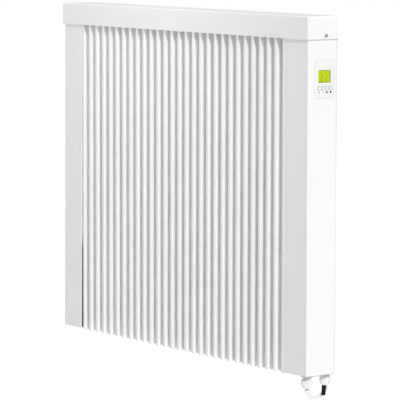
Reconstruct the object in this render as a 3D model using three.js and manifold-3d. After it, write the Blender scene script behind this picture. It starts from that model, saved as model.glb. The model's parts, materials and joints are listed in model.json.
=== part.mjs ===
// A slim wall-hung storage heater: a ribbed steel case round a fireclay core, millimetres, +Z up.
// The front faces -Y and the wall is on the +Y side. The origin is on the wall, at the middle of
// the wall rail. Inside this file the case is drawn with z = 0 at its lower edge and y = 0 at the
// middle of its depth, and the finished group is shifted to the origin at the end.

import * as THREE from "three";
import { mergeVertices } from "three/addons/utils/BufferGeometryUtils.js";
import Module from "manifold-3d";

const wasm = await Module();
wasm.setup();

// ---------------------------------------------------------------- driving dimensions

// Case
const caseWidth = 774; // over the two side panels
const caseDepth = 66; // front of the ribs to back of the rear panel
const caseHeight = 640; // lower edge to top of the cap
const sheet = 1.2; // steel sheet
const bendRadius = 1.6; // to the middle of the sheet
const seat = 0.3; // clearance between pieces that touch
const capOverhang = 2.4; // the cap stands out from the case
const skirtHeight = 41; // cap skirt
const leftColumnWidth = 57.4;
const rightColumnWidth = 64.4;
const shadowGap = 4.3; // between the left column and the first rib
const seamGap = 0.6; // between the last rib and the right column
const rearFlange = 14;

// Cap screws
const screwBack = 5.2; // behind the middle of the depth
const screwRise = 6.2; // above the foot of the skirt
const screwHead = 7;
const screwHeadHeight = 2;
const screwShank = 3.5;
const screwLength = 9;

// Ribbed front
const ribCount = 29;
const ribWidth = 8.2;
const ribDepth = 12;
const ribBend = 2; // to the middle of the sheet
const lastGroove = 2.2; // the groove before the last rib is wider by this
const ribTopGap = 16; // between the ribs and the top of the cap
const ribFlange = 8; // lies behind the columns' returns
const columnInlet = 16; // air inlet at the foot of the left column

// Air slots
const slotLength = 22;
const slotWidth = 4.5;
const slotPitch = 33;
const topSlotRows = 3;
const topRowPitch = 15;
const topRowShift = 8; // of the rows' middle towards the rear
const inletRows = 2;
const inletRowPitch = 18;
const slotEndMargin = 30;

// Fireclay core
const brickColumns = 3;
const brickRows = 2;
const brickDepth = 30;
const brickGap = 0.4;
const coreAir = 2.3; // between the ribbed front and the bricks
const coreBottom = 42;
const coreTopMargin = 66; // from the top of the bricks to the top of the cap
const channelWidth = 9;
const rodDiameter = 6.5;
const rodSpacing = 130;
const rodEndReach = 16; // past the partition
const rodTurnInset = 24; // from the left end of the core to the vertical run
const rodBend = 22;
const rodHoleGap = 1; // across a rod's hole in the end board
const boardThickness = 6; // end insulation boards
const rearBoardThickness = 10;
const railLip = 10;
const lipGap = 0.8; // between the bricks and the rails' front lips

// Wall fixings
const wallGap = 25;
const railWidth = 560;
const railHeight = 46;
const railFromTop = 112; // middle of the rail below the top of the cap
const railSheet = 2;
const hookWidth = 26;
const hookRise = 12;
const hookReach = 6.4; // into the case
const hookInset = 65; // middle of a hook, in from the end of the rail
const slotSlack = 1.5; // round a hook in the rear panel
const keyholeInset = 30; // in from the end of the rail
const keyholeWidth = 7;
const keyholeLength = 16;
const spacerDiameter = 26;
const spacerFoot = 34;
const spacerFootThickness = 3;
const spacerInset = 190;
const spacerRise = 60;

// Control panel, on the right side
const fasciaWidth = 42.4;
const fasciaHeight = 68;
const fasciaProud = 1;
const fasciaCorner = 2;
const plugCorner = 1;
const fasciaMiddleY = 3.8;
const fasciaTopDrop = 76.6; // below the top of the cap
const plugWallInset = 1.2; // fascia rim on the side panel
const fasciaBodyDepth = 9;
const fasciaFace = 1.6; // thickness of the face
const displayWidth = 27;
const displayHeight = 22.4;
const displayDrop = 18.6; // below the top of the fascia
const displayThickness = 2.4;
const displayRim = 1.4; // of the display, behind the fascia's face
const paneThickness = 1;
const buttonCount = 4;
const buttonDiameter = 7.2;
const buttonHole = 8;
const buttonPitch = 8.7;
const buttonDrop = 50.6; // below the top of the fascia
const buttonShift = 0.6; // of the row's middle towards the rear
const buttonProud = 1;
const buttonEdge = 0.8; // width of the rounded edge of a button
const buttonCrown = 0.1; // rise of the face inside the edge
const buttonEdgeDrop = 0.6; // depth of the rounded edge
const buttonCollar = 8.4;
const buttonCollarThickness = 0.8;
const buttonTravel = 0.8;
const stemDiameter = 3;
const boardSheet = 1.6;
const boardStandoff = 4.6; // inner end of the fascia body to the board
const boardMargin = 1; // round the control board, inside the fascia body
const switchSide = 5;
const switchHeight = 2.2;
const moduleCaseWall = 1.6;
const moduleCaseDepth = 16;
const postSide = 6; // posts under the control board
const postInset = 6; // middle of a post, in from the ends of the board

// Lower cable glands
const glandX = 14; // in from the side panel
const frontGlandY = 12.8; // back from the front
const rearGlandY = 12.2; // forward from the back
const glandHex = 19; // across flats
const glandFlange = 5.4;
const glandFlangeChamfer = 2.6; // depth, on the lower edge of the flange
const glandNeck = 15;
const glandNeckLength = 1.6;
const glandNutLength = 18.6;
const glandNutChamfer = 2.4; // depth, on the upper edge of the nut
const glandNutDome = 8;
const glandMouth = 10.6;
const glandMouthEdge = 2.6; // width of the dome's last slope
const glandThread = 15.6;
const glandThreadLength = 9;
const lockNutHex = 18;
const lockNutThickness = 3.6;
const glandBore = 8.2;

// Sensor, leads and cord
const probeDiameter = 7.6;
const probeTipSteps = 3; // facets of the round tip
const probeReach = 43; // below the case
const cordDiameter = 7;
const thinLead = 3.2;
const leadHoleGap = 1; // across the sensor lead's hole in the tray
const innerLead = 6.8;
const innerLeadBend = 10;
const innerLeadTurn = 26; // turn below the terminals
const sensorLeadBend = 6;
const sensorLeadRun = 52; // its turn towards the control case, below its hole there
const sensorLeadStand = 14; // beside the control case
const sensorLeadDrop = 24; // below its hole in the control case
const coilRadius = 38; // to the middle of the turns
const coilTurnsWide = 2;
const coilTurnsDeep = 2;
const coilInset = 85; // middle of the coil, in from the side of the case
const coilRise = 96;
const tailLength = 26; // sheathed end below the coil
const coreDiameter = 2.6;
const coreLength = 28;
const tieThickness = 1.4;
const tieWidth = 5;
const saddleSide = 16;

// Electrics in the right column
const powerBoardAir = 4.8; // to the heating rods above and below
const powerBoardWidth = 44;
const relaySide = 26;
const relayHeight = 17;
const sinkWidth = 28;
const sinkLength = 36;
const sinkHeight = 13;
const pieceGap = 10; // between the relay and the heat sink
const terminalWidth = 34;
const terminalHeight = 20;
const terminalDepth = 18;
const terminalWay = 5;
const terminalRise = 64;
const limiterDiameter = 14;
const limiterHeight = 9;
const limiterEdge = 2;

// Facets of round pieces
const roundSides = 24;
const turnedSides = 20;
const chamferSides = 18;
const holeSides = 16;
const smallSides = 12;
const rodSteps = 60; // along a heating rod
const sensorLeadSteps = 30;
const innerLeadSteps = 22;
const cordSteps = 32;
const coilSides = 40;

// ---------------------------------------------------------------- places that follow

const halfWidth = caseWidth / 2;
const front = -caseDepth / 2;
const back = caseDepth / 2;
const skirtFoot = caseHeight - skirtHeight;
const capEnd = halfWidth + capOverhang;
const leftColumnEdge = -halfWidth + leftColumnWidth;
const rightColumnEdge = halfWidth - rightColumnWidth;
const ribsFrom = leftColumnEdge + shadowGap;
const ribsTo = rightColumnEdge - seamGap;
const ribPitch = (ribsTo - ribsFrom - ribWidth - lastGroove) / (ribCount - 1);
const grooveFace = front + ribDepth; // front face of the groove floors
const ribBack = grooveFace + sheet;
const rearInside = back - sheet;
const panelTop = caseHeight - sheet - seat;
const coreFront = ribBack + coreAir;
const coreBack = coreFront + brickDepth;
const leftBoardFrom = ribsFrom - ribFlange + sheet;
const coreFrom = leftBoardFrom + boardThickness + seat;
const rightBoardTo = ribsTo + ribFlange / 4;
const rightBoardFrom = rightBoardTo - boardThickness;
const coreTo = rightBoardFrom - seat;
const coreTop = caseHeight - coreTopMargin;
const railZ = caseHeight - railFromTop;
const wallY = back + wallGap;
const keyholeX = railWidth / 2 - keyholeInset;
const hookX = railWidth / 2 - hookInset;
const floorZ = sheet + seat; // lower face of the bottom plate
const fasciaTop = caseHeight - fasciaTopDrop;
const glandCentreX = halfWidth - glandX;
const frontGlandCentre = front + frontGlandY;
const rearGlandCentre = back - rearGlandY;
const coilX = halfWidth - coilInset;
const cordPlaneY = back + wallGap / 2;
const electricsY = (ribBack + rearInside) / 2; // middle of the space behind the ribs
const nutTop = -(glandFlange + glandNeckLength);
const nutFoot = nutTop - glandNutLength;

// ---------------------------------------------------------------- shape helpers

function toSolid(geometry) {
  const bare = geometry.index ? geometry.toNonIndexed() : geometry.clone();
  bare.deleteAttribute("normal");
  bare.deleteAttribute("uv");
  const merged = mergeVertices(bare, 1e-4);
  return new wasm.Manifold(
    new wasm.Mesh({
      numProp: 3,
      vertProperties: merged.attributes.position.array,
      triVerts: new Uint32Array(merged.index.array),
    }),
  );
}

function toGeometry(solid) {
  const mesh = solid.getMesh();
  const geometry = new THREE.BufferGeometry();
  geometry.setAttribute("position", new THREE.BufferAttribute(mesh.vertProperties, 3));
  geometry.setIndex(new THREE.BufferAttribute(mesh.triVerts, 1));
  geometry.computeVertexNormals();
  return geometry;
}

function joined(...pieces) {
  return toGeometry(pieces.map(toSolid).reduce((a, b) => a.add(b)));
}

function cutBy(piece, cutters) {
  return toGeometry(cutters.map(toSolid).reduce((a, b) => a.subtract(b), toSolid(piece)));
}

function commonTo(a, b) {
  return toGeometry(toSolid(a).intersect(toSolid(b)));
}

// A box from its lower corner to its upper corner.
function block([x0, y0, z0], [x1, y1, z1]) {
  const box = new THREE.BoxGeometry(x1 - x0, y1 - y0, z1 - z0);
  return box.translate((x0 + x1) / 2, (y0 + y1) / 2, (z0 + z1) / 2);
}

function prism(shape, from, to, curveSegments = 6) {
  const solid = new THREE.ExtrudeGeometry(shape, {
    depth: to - from,
    bevelEnabled: false,
    curveSegments,
  });
  return solid.translate(0, 0, from);
}

// Turns a piece drawn along +Z so that its own x, y, z run along the given world axes.
function alongAxes(piece, x, y, z) {
  const turn = new THREE.Matrix4().makeBasis(
    new THREE.Vector3(...x),
    new THREE.Vector3(...y),
    new THREE.Vector3(...z),
  );
  return piece.applyMatrix4(turn);
}

const alongX = (piece) => alongAxes(piece, [0, 1, 0], [0, 0, 1], [1, 0, 0]);
const alongY = (piece) => alongAxes(piece, [0, 0, 1], [1, 0, 0], [0, 1, 0]);

// The closed outline of a folded sheet whose middle follows the points, with round bends.
function foldedSheet(points, thickness, radius, steps = 3) {
  const middle = points.map(([x, y]) => new THREE.Vector2(x, y));
  const left = [];
  const right = [];
  const put = (p, normal) => {
    left.push(p.clone().addScaledVector(normal, thickness / 2));
    right.push(p.clone().addScaledVector(normal, -thickness / 2));
  };
  const normalOf = (d) => new THREE.Vector2(-d.y, d.x);
  const way = (i) => middle[i + 1].clone().sub(middle[i]).normalize();
  put(middle[0], normalOf(way(0)));
  for (let i = 1; i < middle.length - 1; i++) {
    const before = way(i - 1);
    const after = way(i);
    const side = Math.sign(before.cross(after));
    const turn = Math.acos(THREE.MathUtils.clamp(before.dot(after), -1, 1));
    const start = middle[i].clone().addScaledVector(before, -radius * Math.tan(turn / 2));
    const centre = start.clone().addScaledVector(normalOf(before), side * radius);
    for (let k = 0; k <= steps; k++) {
      const normal = normalOf(before).rotateAround(new THREE.Vector2(), (side * turn * k) / steps);
      put(centre.clone().addScaledVector(normal, -side * radius), normal);
    }
  }
  put(middle.at(-1), normalOf(way(middle.length - 2)));
  return new THREE.Shape([...left, ...right.reverse()]);
}

function roundedRectangle(width, height, radius) {
  const x = width / 2;
  const y = height / 2;
  const shape = new THREE.Shape();
  shape.moveTo(-x + radius, -y);
  shape.lineTo(x - radius, -y);
  shape.absarc(x - radius, -y + radius, radius, -Math.PI / 2, 0);
  shape.lineTo(x, y - radius);
  shape.absarc(x - radius, y - radius, radius, 0, Math.PI / 2);
  shape.lineTo(-x + radius, y);
  shape.absarc(-x + radius, y - radius, radius, Math.PI / 2, Math.PI);
  shape.lineTo(-x, -y + radius);
  shape.absarc(-x + radius, -y + radius, radius, Math.PI, 1.5 * Math.PI);
  return shape;
}

function regularShape(radius, sides, phase = 0) {
  const corners = Array.from({ length: sides }, (_, i) => {
    const angle = phase + (2 * Math.PI * i) / sides;
    return new THREE.Vector2(radius * Math.cos(angle), radius * Math.sin(angle));
  });
  return new THREE.Shape(corners);
}

const hexagon = (acrossFlats) => regularShape(acrossFlats / Math.sqrt(3), 6);

// A hexagon prism whose corners are turned off towards its end, as on a nut.
function chamferedHexagon(acrossFlats, from, to, chamfer, atTop) {
  const beyond = 0.6 * acrossFlats; // just outside the corners
  const face = (acrossFlats - chamfer) / 2;
  const profile = atTop
    ? [[0, from], [beyond, from], [beyond, to - chamfer], [face, to], [0, to]]
    : [[0, from], [face, from], [beyond, from + chamfer], [beyond, to], [0, to]];
  return commonTo(prism(hexagon(acrossFlats), from, to), turned(profile, chamferSides));
}

function disc(diameter, from, to, sides = roundSides) {
  return prism(regularShape(diameter / 2, sides, Math.PI / sides), from, to);
}

// A turned piece about +Z: the profile is a list of [radius, height] that starts and ends on the axis.
function turned(profile, sides = roundSides) {
  const points = profile.map(([r, z]) => new THREE.Vector2(r, z));
  if (points[0].y > points.at(-1).y) points.reverse();
  return new THREE.LatheGeometry(points, sides).rotateX(Math.PI / 2);
}

// A round tube along a curve.
function tube(curve, diameter, steps, sides = 8) {
  return new THREE.ExtrudeGeometry(regularShape(diameter / 2, sides), {
    steps,
    extrudePath: curve,
    bevelEnabled: false,
  });
}

// A line through the points with round corners.
function roundedLine(points, radius) {
  const at = points.map((p) => new THREE.Vector3(...p));
  const curve = new THREE.CurvePath();
  let from = at[0];
  for (let i = 1; i < at.length - 1; i++) {
    const into = at[i].clone().sub(at[i - 1]).normalize();
    const out = at[i + 1].clone().sub(at[i]).normalize();
    const bendStart = at[i].clone().addScaledVector(into, -radius);
    const bendEnd = at[i].clone().addScaledVector(out, radius);
    curve.add(new THREE.LineCurve3(from, bendStart));
    curve.add(new THREE.QuadraticBezierCurve3(bendStart, at[i], bendEnd));
    from = bendEnd;
  }
  curve.add(new THREE.LineCurve3(from, at.at(-1)));
  return curve;
}

// Evenly spaced places, centred on zero: so many, or as many as fit in a length.
const rowsOf = (count, pitch) => Array.from({ length: count }, (_, i) => (i - (count - 1) / 2) * pitch);
const spread = (length, pitch) => rowsOf(Math.max(1, Math.floor(length / pitch) + 1), pitch);

// ---------------------------------------------------------------- finishes and assembly

function finish(color, roughness, metalness = 0) {
  return new THREE.MeshStandardMaterial({ color, roughness, metalness });
}

const whiteSteel = finish(0xf1f1ef, 0.45);
const zincSteel = finish(0xb9bcbf, 0.4, 0.9);
const whitePlastic = finish(0xf4f4f2, 0.5);
const greyPlastic = finish(0x8d9094, 0.55);
const blackPlastic = finish(0x141414, 0.5);
const fireclay = finish(0xb98f66, 0.95);
const insulation = finish(0xd9d5c6, 0.95);
const rodSteel = finish(0x6d6a66, 0.45, 0.9);
const boardGreen = finish(0x1f6b45, 0.6);
const displayGlass = finish(0xbed62f, 0.3);
const clearPane = finish(0xd3e05a, 0.15);
const whiteRubber = finish(0xeceae6, 0.7);

const heater = new THREE.Group();

function add(name, geometry, material) {
  const mesh = new THREE.Mesh(geometry, material);
  mesh.name = name;
  heater.add(mesh);
  return mesh;
}

// ---------------------------------------------------------------- case

const screwZ = skirtFoot + screwRise;

// A hole through a side face, drawn on the right and turned round for the left.
function screwHole(side) {
  const hole = alongX(disc(screwShank + 2 * seat, halfWidth - rearFlange, capEnd + 1, holeSides));
  if (side < 0) hole.rotateZ(Math.PI);
  return hole.translate(0, screwBack, screwZ);
}

function makeTopCap() {
  const outer = block([-capEnd, front - capOverhang, skirtFoot], [capEnd, back, caseHeight]);
  const inner = block(
    [sheet - capEnd, front - capOverhang + sheet, skirtFoot - 1],
    [capEnd - sheet, back - sheet, caseHeight - sheet],
  );
  const slots = rowsOf(topSlotRows, topRowPitch).flatMap((y) =>
    spread(caseWidth - 2 * slotEndMargin - slotLength, slotPitch).map((x) =>
      block(
        [x - slotLength / 2, y + topRowShift - slotWidth / 2, caseHeight - 2 * sheet],
        [x + slotLength / 2, y + topRowShift + slotWidth / 2, caseHeight + 1],
      ),
    ),
  );
  add("top_cap", cutBy(outer, [inner, ...slots, screwHole(1), screwHole(-1)]), whiteSteel);
}

function makeCapScrew(name, side) {
  const head = turned(
    [
      [0, screwHeadHeight],
      [screwHead / 4, screwHeadHeight],
      [screwHead / 2, screwHeadHeight / 2],
      [screwHead / 2, 0],
      [screwShank / 2, 0],
      [screwShank / 2, -screwLength],
      [0, -screwLength],
    ],
    turnedSides,
  );
  const screw = alongX(head).translate(capEnd + seat, 0, 0);
  if (side < 0) screw.rotateZ(Math.PI);
  screw.translate(0, screwBack, screwZ);
  add(name, screw, zincSteel);
}

// Plan of a side panel: return, flat column, side face and rear flange.
function sidePanel(side, columnEdge) {
  const half = sheet / 2;
  const outline = [
    [columnEdge + side * half, grooveFace - ribBend],
    [columnEdge + side * half, front + half],
    [side * (halfWidth - half), front + half],
    [side * (halfWidth - half), rearInside - seat - half],
    [side * (halfWidth - rearFlange), rearInside - seat - half],
  ];
  return prism(foldedSheet(outline, sheet, bendRadius), 0, panelTop);
}

function makeSidePanels() {
  const window = block(
    [halfWidth - rearFlange / 2, fasciaMiddleY - fasciaWidth / 2 + plugWallInset - seat, 0],
    [halfWidth + 1, fasciaMiddleY + fasciaWidth / 2 - plugWallInset + seat, 1],
  );
  window.scale(1, 1, fasciaHeight - 2 * plugWallInset + 2 * seat);
  window.translate(0, 0, fasciaTop - fasciaHeight + plugWallInset - seat);
  const right = cutBy(sidePanel(1, rightColumnEdge), [window, screwHole(1)]);
  const left = cutBy(sidePanel(-1, leftColumnEdge), [screwHole(-1)]);
  add("right_side_panel", right, whiteSteel);
  add("left_side_panel", left, whiteSteel);
}

// One sheet folded into ribs, with a flange at each end behind the columns.
function makeRibbedFront() {
  const half = sheet / 2;
  const floor = grooveFace + half;
  const crest = front + half;
  const line = [[ribsFrom - ribFlange, floor]];
  for (let i = 0; i < ribCount; i++) {
    const x = ribsFrom + i * ribPitch + (i === ribCount - 1 ? lastGroove : 0);
    line.push([x + half, floor], [x + half, crest]);
    line.push([x + ribWidth - half, crest], [x + ribWidth - half, floor]);
  }
  line.push([ribsTo + ribFlange, floor]);
  const panel = prism(foldedSheet(line, sheet, ribBend, 2), 0, caseHeight - ribTopGap);
  add("ribbed_front_panel", panel, whiteSteel);
}

const hookPlaces = [-hookX, hookX];

function makeRearPanel() {
  const panel = block([-halfWidth, rearInside, 0], [halfWidth, back, skirtFoot - seat]);
  const hookSlots = hookPlaces.map((x) =>
    block(
      [x - hookWidth / 2 - slotSlack, rearInside - 1, railZ - hookRise],
      [x + hookWidth / 2 + slotSlack, back + 1, railZ + railSheet + hookRise + slotSlack],
    ),
  );
  add("rear_panel", cutBy(panel, hookSlots), whiteSteel);
}

// The bottom plate fits between the side panels and has the air inlets and the gland holes.
function makeBottomPlate() {
  const inside = halfWidth - sheet - seat;
  const plate = joined(
    block([-inside, ribBack + seat, floorZ], [inside, rearInside - sheet - 2 * seat, floorZ + sheet]),
    block(
      [rightColumnEdge + sheet + ribFlange, front + sheet + seat, floorZ],
      [inside, 0, floorZ + sheet],
    ),
    block(
      [-inside, front + sheet + seat, floorZ],
      [leftColumnEdge - sheet - columnInlet, 0, floorZ + sheet],
    ),
  );
  const inlets = rowsOf(inletRows, inletRowPitch).flatMap((y) =>
    spread(coreTo - coreFrom - slotLength, slotPitch).map((x) =>
      block(
        [x - slotLength / 2, y + electricsY - slotWidth / 2, floorZ - 1],
        [x + slotLength / 2, y + electricsY + slotWidth / 2, floorZ + sheet + 1],
      ),
    ),
  );
  const glandHoles = [frontGlandCentre, rearGlandCentre].map((y) =>
    disc(glandThread + 2 * seat, floorZ - 1, floorZ + sheet + 1).translate(glandCentreX, y, 0),
  );
  add("bottom_plate", cutBy(plate, [...inlets, ...glandHoles]), whiteSteel);
}

// ---------------------------------------------------------------- core

const brickWidth = (coreTo - coreFrom - (brickColumns - 1) * brickGap) / brickColumns;
const brickHeight = (coreTop - coreBottom - (brickRows - 1) * brickGap) / brickRows;
const channelBottom = coreBack - channelWidth;
const rodY = coreBack - channelWidth / 2;

const rowMiddle = (row) => coreBottom + brickHeight / 2 + row * (brickHeight + brickGap);
const turnX = coreFrom + rodTurnInset;

function makeBricks() {
  for (let row = 0; row < brickRows; row++) {
    const bottom = rowMiddle(row) - brickHeight / 2;
    const level = (side) => rowMiddle(row) + (side * rodSpacing) / 2;
    for (let column = 0; column < brickColumns; column++) {
      const from = coreFrom + column * (brickWidth + brickGap);
      const brick = block([from, coreFront, bottom], [from + brickWidth, coreBack, bottom + brickHeight]);
      const channels = [-1, 1].map((side) =>
        block(
          [Math.max(from - 1, turnX - channelWidth / 2), channelBottom, level(side) - channelWidth / 2],
          [from + brickWidth + 1, coreBack + 1, level(side) + channelWidth / 2],
        ),
      );
      if (column === 0) {
        channels.push(
          block(
            [turnX - channelWidth / 2, channelBottom, level(-1) - channelWidth / 2],
            [turnX + rodBend, coreBack + 1, level(1) + channelWidth / 2],
          ),
        );
      }
      add(`core_brick_${row * brickColumns + column + 1}`, cutBy(brick, channels), fireclay);
    }
  }
}

const rodEnd = rightBoardTo + rodEndReach;

function makeHeatingRods() {
  ["lower", "upper"].forEach((name, row) => {
    const low = rowMiddle(row) - rodSpacing / 2;
    const high = rowMiddle(row) + rodSpacing / 2;
    const line = roundedLine(
      [
        [rodEnd, rodY, low],
        [turnX, rodY, low],
        [turnX, rodY, high],
        [rodEnd, rodY, high],
      ],
      rodBend - channelWidth / 2,
    );
    add(`heating_rod_${name}`, tube(line, rodDiameter, rodSteps, 6), rodSteel);
  });
}

// Channels under and over the bricks, screwed to the rear panel.
function makeCoreRails() {
  const half = sheet / 2;
  const inner = coreFront - lipGap - half;
  const outer = rearInside - seat - half;
  const rail = (level, way) => {
    const outline = [
      [inner, level + way * railLip],
      [inner, level],
      [outer, level],
      [outer, level + way * railLip],
    ];
    return alongX(prism(foldedSheet(outline, sheet, bendRadius), coreFrom, coreTo));
  };
  add("core_rail_lower", rail(coreBottom - seat - half, 1), zincSteel);
  add("core_rail_upper", rail(coreTop + seat + half, -1), zincSteel);
}

function makeInsulation() {
  const top = coreTop + sheet + seat;
  const bottom = coreBottom - sheet - seat;
  const rearBoard = block(
    [coreFrom, coreBack + seat, coreBottom],
    [coreTo, coreBack + seat + rearBoardThickness, coreTop],
  );
  add("rear_insulation_board", rearBoard, insulation);
  const end = (from) =>
    block([from, ribBack + seat, bottom], [from + boardThickness, rearInside - seat, top]);
  add("left_insulation_board", end(leftBoardFrom), insulation);
  const rodHoles = [0, 1].flatMap((row) =>
    [-1, 1].map((side) =>
      alongX(disc(rodDiameter + rodHoleGap, rightBoardFrom - 1, rightBoardTo + 1, smallSides)).translate(
        0,
        rodY,
        rowMiddle(row) + (side * rodSpacing) / 2,
      ),
    ),
  );
  add("right_insulation_board", cutBy(end(rightBoardFrom), rodHoles), insulation);
}

// ---------------------------------------------------------------- control panel

const faceX = halfWidth + seat; // inner side of the fascia's rim
const fasciaFront = faceX + fasciaProud;
const bodyIn = fasciaFront - fasciaBodyDepth;
const plugWidth = fasciaWidth - 2 * plugWallInset;
const plugHeight = fasciaHeight - 2 * plugWallInset;
const fasciaMiddleZ = fasciaTop - fasciaHeight / 2;
const displayZ = fasciaTop - displayDrop - displayHeight / 2;
const buttonZ = fasciaTop - buttonDrop;
const boardX = bodyIn - boardStandoff; // outer face of the control board
const trayBack = bodyIn - moduleCaseDepth;
const leadHoleZ = fasciaMiddleZ - plugHeight / 4; // of the sensor's lead, in the tray
const buttonPlaces = rowsOf(buttonCount, buttonPitch).map((y) => fasciaMiddleY + buttonShift + y);

function makeFascia() {
  const rim = prism(roundedRectangle(fasciaWidth, fasciaHeight, fasciaCorner), faceX, fasciaFront);
  const plugShape = roundedRectangle(plugWidth, plugHeight, plugCorner);
  const plug = prism(plugShape, bodyIn, faceX + fasciaProud / 2, 3);
  const shell = alongX(joined(rim, plug)).translate(0, fasciaMiddleY, fasciaMiddleZ);
  const w = plugWidth / 2 - fasciaFace;
  const h = plugHeight / 2 - fasciaFace;
  const hollow = block(
    [bodyIn - 1, fasciaMiddleY - w, fasciaMiddleZ - h],
    [fasciaFront - fasciaFace, fasciaMiddleY + w, fasciaMiddleZ + h],
  );
  const display = block(
    [bodyIn, fasciaMiddleY - displayWidth / 2, displayZ - displayHeight / 2],
    [fasciaFront + 1, fasciaMiddleY + displayWidth / 2, displayZ + displayHeight / 2],
  );
  const holes = buttonPlaces.map((y) =>
    alongX(disc(buttonHole, bodyIn, fasciaFront + 1, holeSides)).translate(0, y, buttonZ),
  );
  add("control_fascia", cutBy(shell, [hollow, display, ...holes]), whitePlastic);
}

function makeDisplay() {
  const paneBack = fasciaFront - fasciaFace + seat;
  const w = displayWidth / 2 - seat;
  const h = displayHeight / 2 - seat;
  const pane = block(
    [paneBack, fasciaMiddleY - w, displayZ - h],
    [paneBack + paneThickness, fasciaMiddleY + w, displayZ + h],
  );
  add("display_pane", pane, clearPane);
  const glassFront = fasciaFront - fasciaFace - seat;
  const glass = block(
    [glassFront - displayThickness, fasciaMiddleY - w - displayRim, displayZ - h - displayRim],
    [glassFront, fasciaMiddleY + w + displayRim, displayZ + h + displayRim],
  );
  const foot = block(
    [boardX + seat, fasciaMiddleY - w, displayZ - h],
    [glassFront - displayThickness / 2, fasciaMiddleY + w, displayZ + h],
  );
  add("display_module", joined(glass, foot), displayGlass);
}

// Each button has a collar behind the fascia and a stem that ends just off its switch.
function makeButtons() {
  const collarFront = fasciaFront - fasciaFace - seat;
  const collarBack = collarFront - buttonCollarThickness;
  const stemEnd = boardX + switchHeight + buttonTravel + seat;
  const crown = fasciaFront + buttonProud;
  const radius = buttonDiameter / 2;
  buttonPlaces.forEach((y, i) => {
    const button = turned(
      [
        [0, crown],
        [radius - buttonEdge, crown - buttonCrown],
        [radius, crown - buttonEdgeDrop],
        [radius, collarFront],
        [buttonCollar / 2, collarFront],
        [buttonCollar / 2, collarBack],
        [stemDiameter / 2, collarBack],
        [stemDiameter / 2, stemEnd],
        [0, stemEnd],
      ],
      turnedSides,
    );
    add(`button_${i + 1}`, alongX(button).translate(0, y, buttonZ), whitePlastic);
  });
}

function makeControlBoard() {
  const w = plugWidth / 2 - boardMargin;
  const h = plugHeight / 2 - boardMargin;
  const board = block(
    [boardX - boardSheet, fasciaMiddleY - w, fasciaMiddleZ - h],
    [boardX, fasciaMiddleY + w, fasciaMiddleZ + h],
  );
  const switches = buttonPlaces.map((y) =>
    block(
      [boardX - boardSheet / 2, y - switchSide / 2, buttonZ - switchSide / 2],
      [boardX + switchHeight, y + switchSide / 2, buttonZ + switchSide / 2],
    ),
  );
  add("control_board", joined(board, ...switches), boardGreen);
}

// The tray behind the fascia that holds the control board.
function makeControlCase() {
  const w = plugWidth / 2 + seat;
  const h = plugHeight / 2 + seat;
  const to = halfWidth - sheet - seat;
  const outer = block(
    [trayBack, -w - moduleCaseWall, -h - moduleCaseWall],
    [to, w + moduleCaseWall, h + moduleCaseWall],
  );
  const hollow = block([trayBack + moduleCaseWall, -w, -h], [to + 1, w, h]);
  const leadHole = disc(thinLead + leadHoleGap, trayBack - 1, trayBack + moduleCaseWall + 1, smallSides);
  const shell = cutBy(outer, [hollow, alongX(leadHole).translate(0, 0, leadHoleZ - fasciaMiddleZ)]);
  const half = postSide / 2;
  const posts = [-1, 1].map((side) => {
    const z = side * (plugHeight / 2 - postInset);
    return block(
      [trayBack + moduleCaseWall / 2, -half, z - half],
      [boardX - boardSheet - seat, half, z + half],
    );
  });
  const tray = joined(shell, ...posts).translate(0, fasciaMiddleY, fasciaMiddleZ);
  add("control_case", tray, greyPlastic);
}

// ---------------------------------------------------------------- electrics in the right column

// The power board fits between the lower row's rod and the upper row's, and the limiter sits
// between the two ends of the upper rod.
function makeElectrics() {
  const wallX = rightBoardTo + seat;
  const rowsMeet = (rowMiddle(0) + rowMiddle(1)) / 2;
  const half = (rowMiddle(1) - rowMiddle(0) - rodSpacing - rodDiameter) / 2 - powerBoardAir;
  const board = block([0, -powerBoardWidth / 2, -half], [boardSheet, powerBoardWidth / 2, half]);
  const relay = block(
    [0, -relaySide / 2, -pieceGap / 2 - relaySide],
    [relayHeight, relaySide / 2, -pieceGap / 2],
  );
  const sink = block(
    [0, -sinkWidth / 2, pieceGap / 2],
    [sinkHeight, sinkWidth / 2, pieceGap / 2 + sinkLength],
  );
  const power = joined(board, relay, sink);
  add("power_board", power.translate(wallX, electricsY, rowsMeet), boardGreen);

  const terminal = block(
    [0, -terminalWidth / 2, 0],
    [terminalDepth, terminalWidth / 2, terminalHeight],
  );
  const ways = rowsOf(3, terminalWidth / 4).map((y) =>
    disc(terminalWay, -1, terminalHeight / 2, smallSides).translate(terminalDepth / 2, y, 0),
  );
  add("terminal_block", cutBy(terminal, ways).translate(wallX, electricsY, terminalRise), whitePlastic);

  const limiter = turned([
    [0, 0],
    [limiterDiameter / 2, 0],
    [limiterDiameter / 2, limiterHeight - limiterEdge],
    [limiterDiameter / 2 - limiterEdge, limiterHeight],
    [0, limiterHeight],
  ]);
  add("safety_limiter", alongX(limiter).translate(wallX, electricsY, rowMiddle(1)), blackPlastic);
}

// ---------------------------------------------------------------- glands and leads

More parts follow.
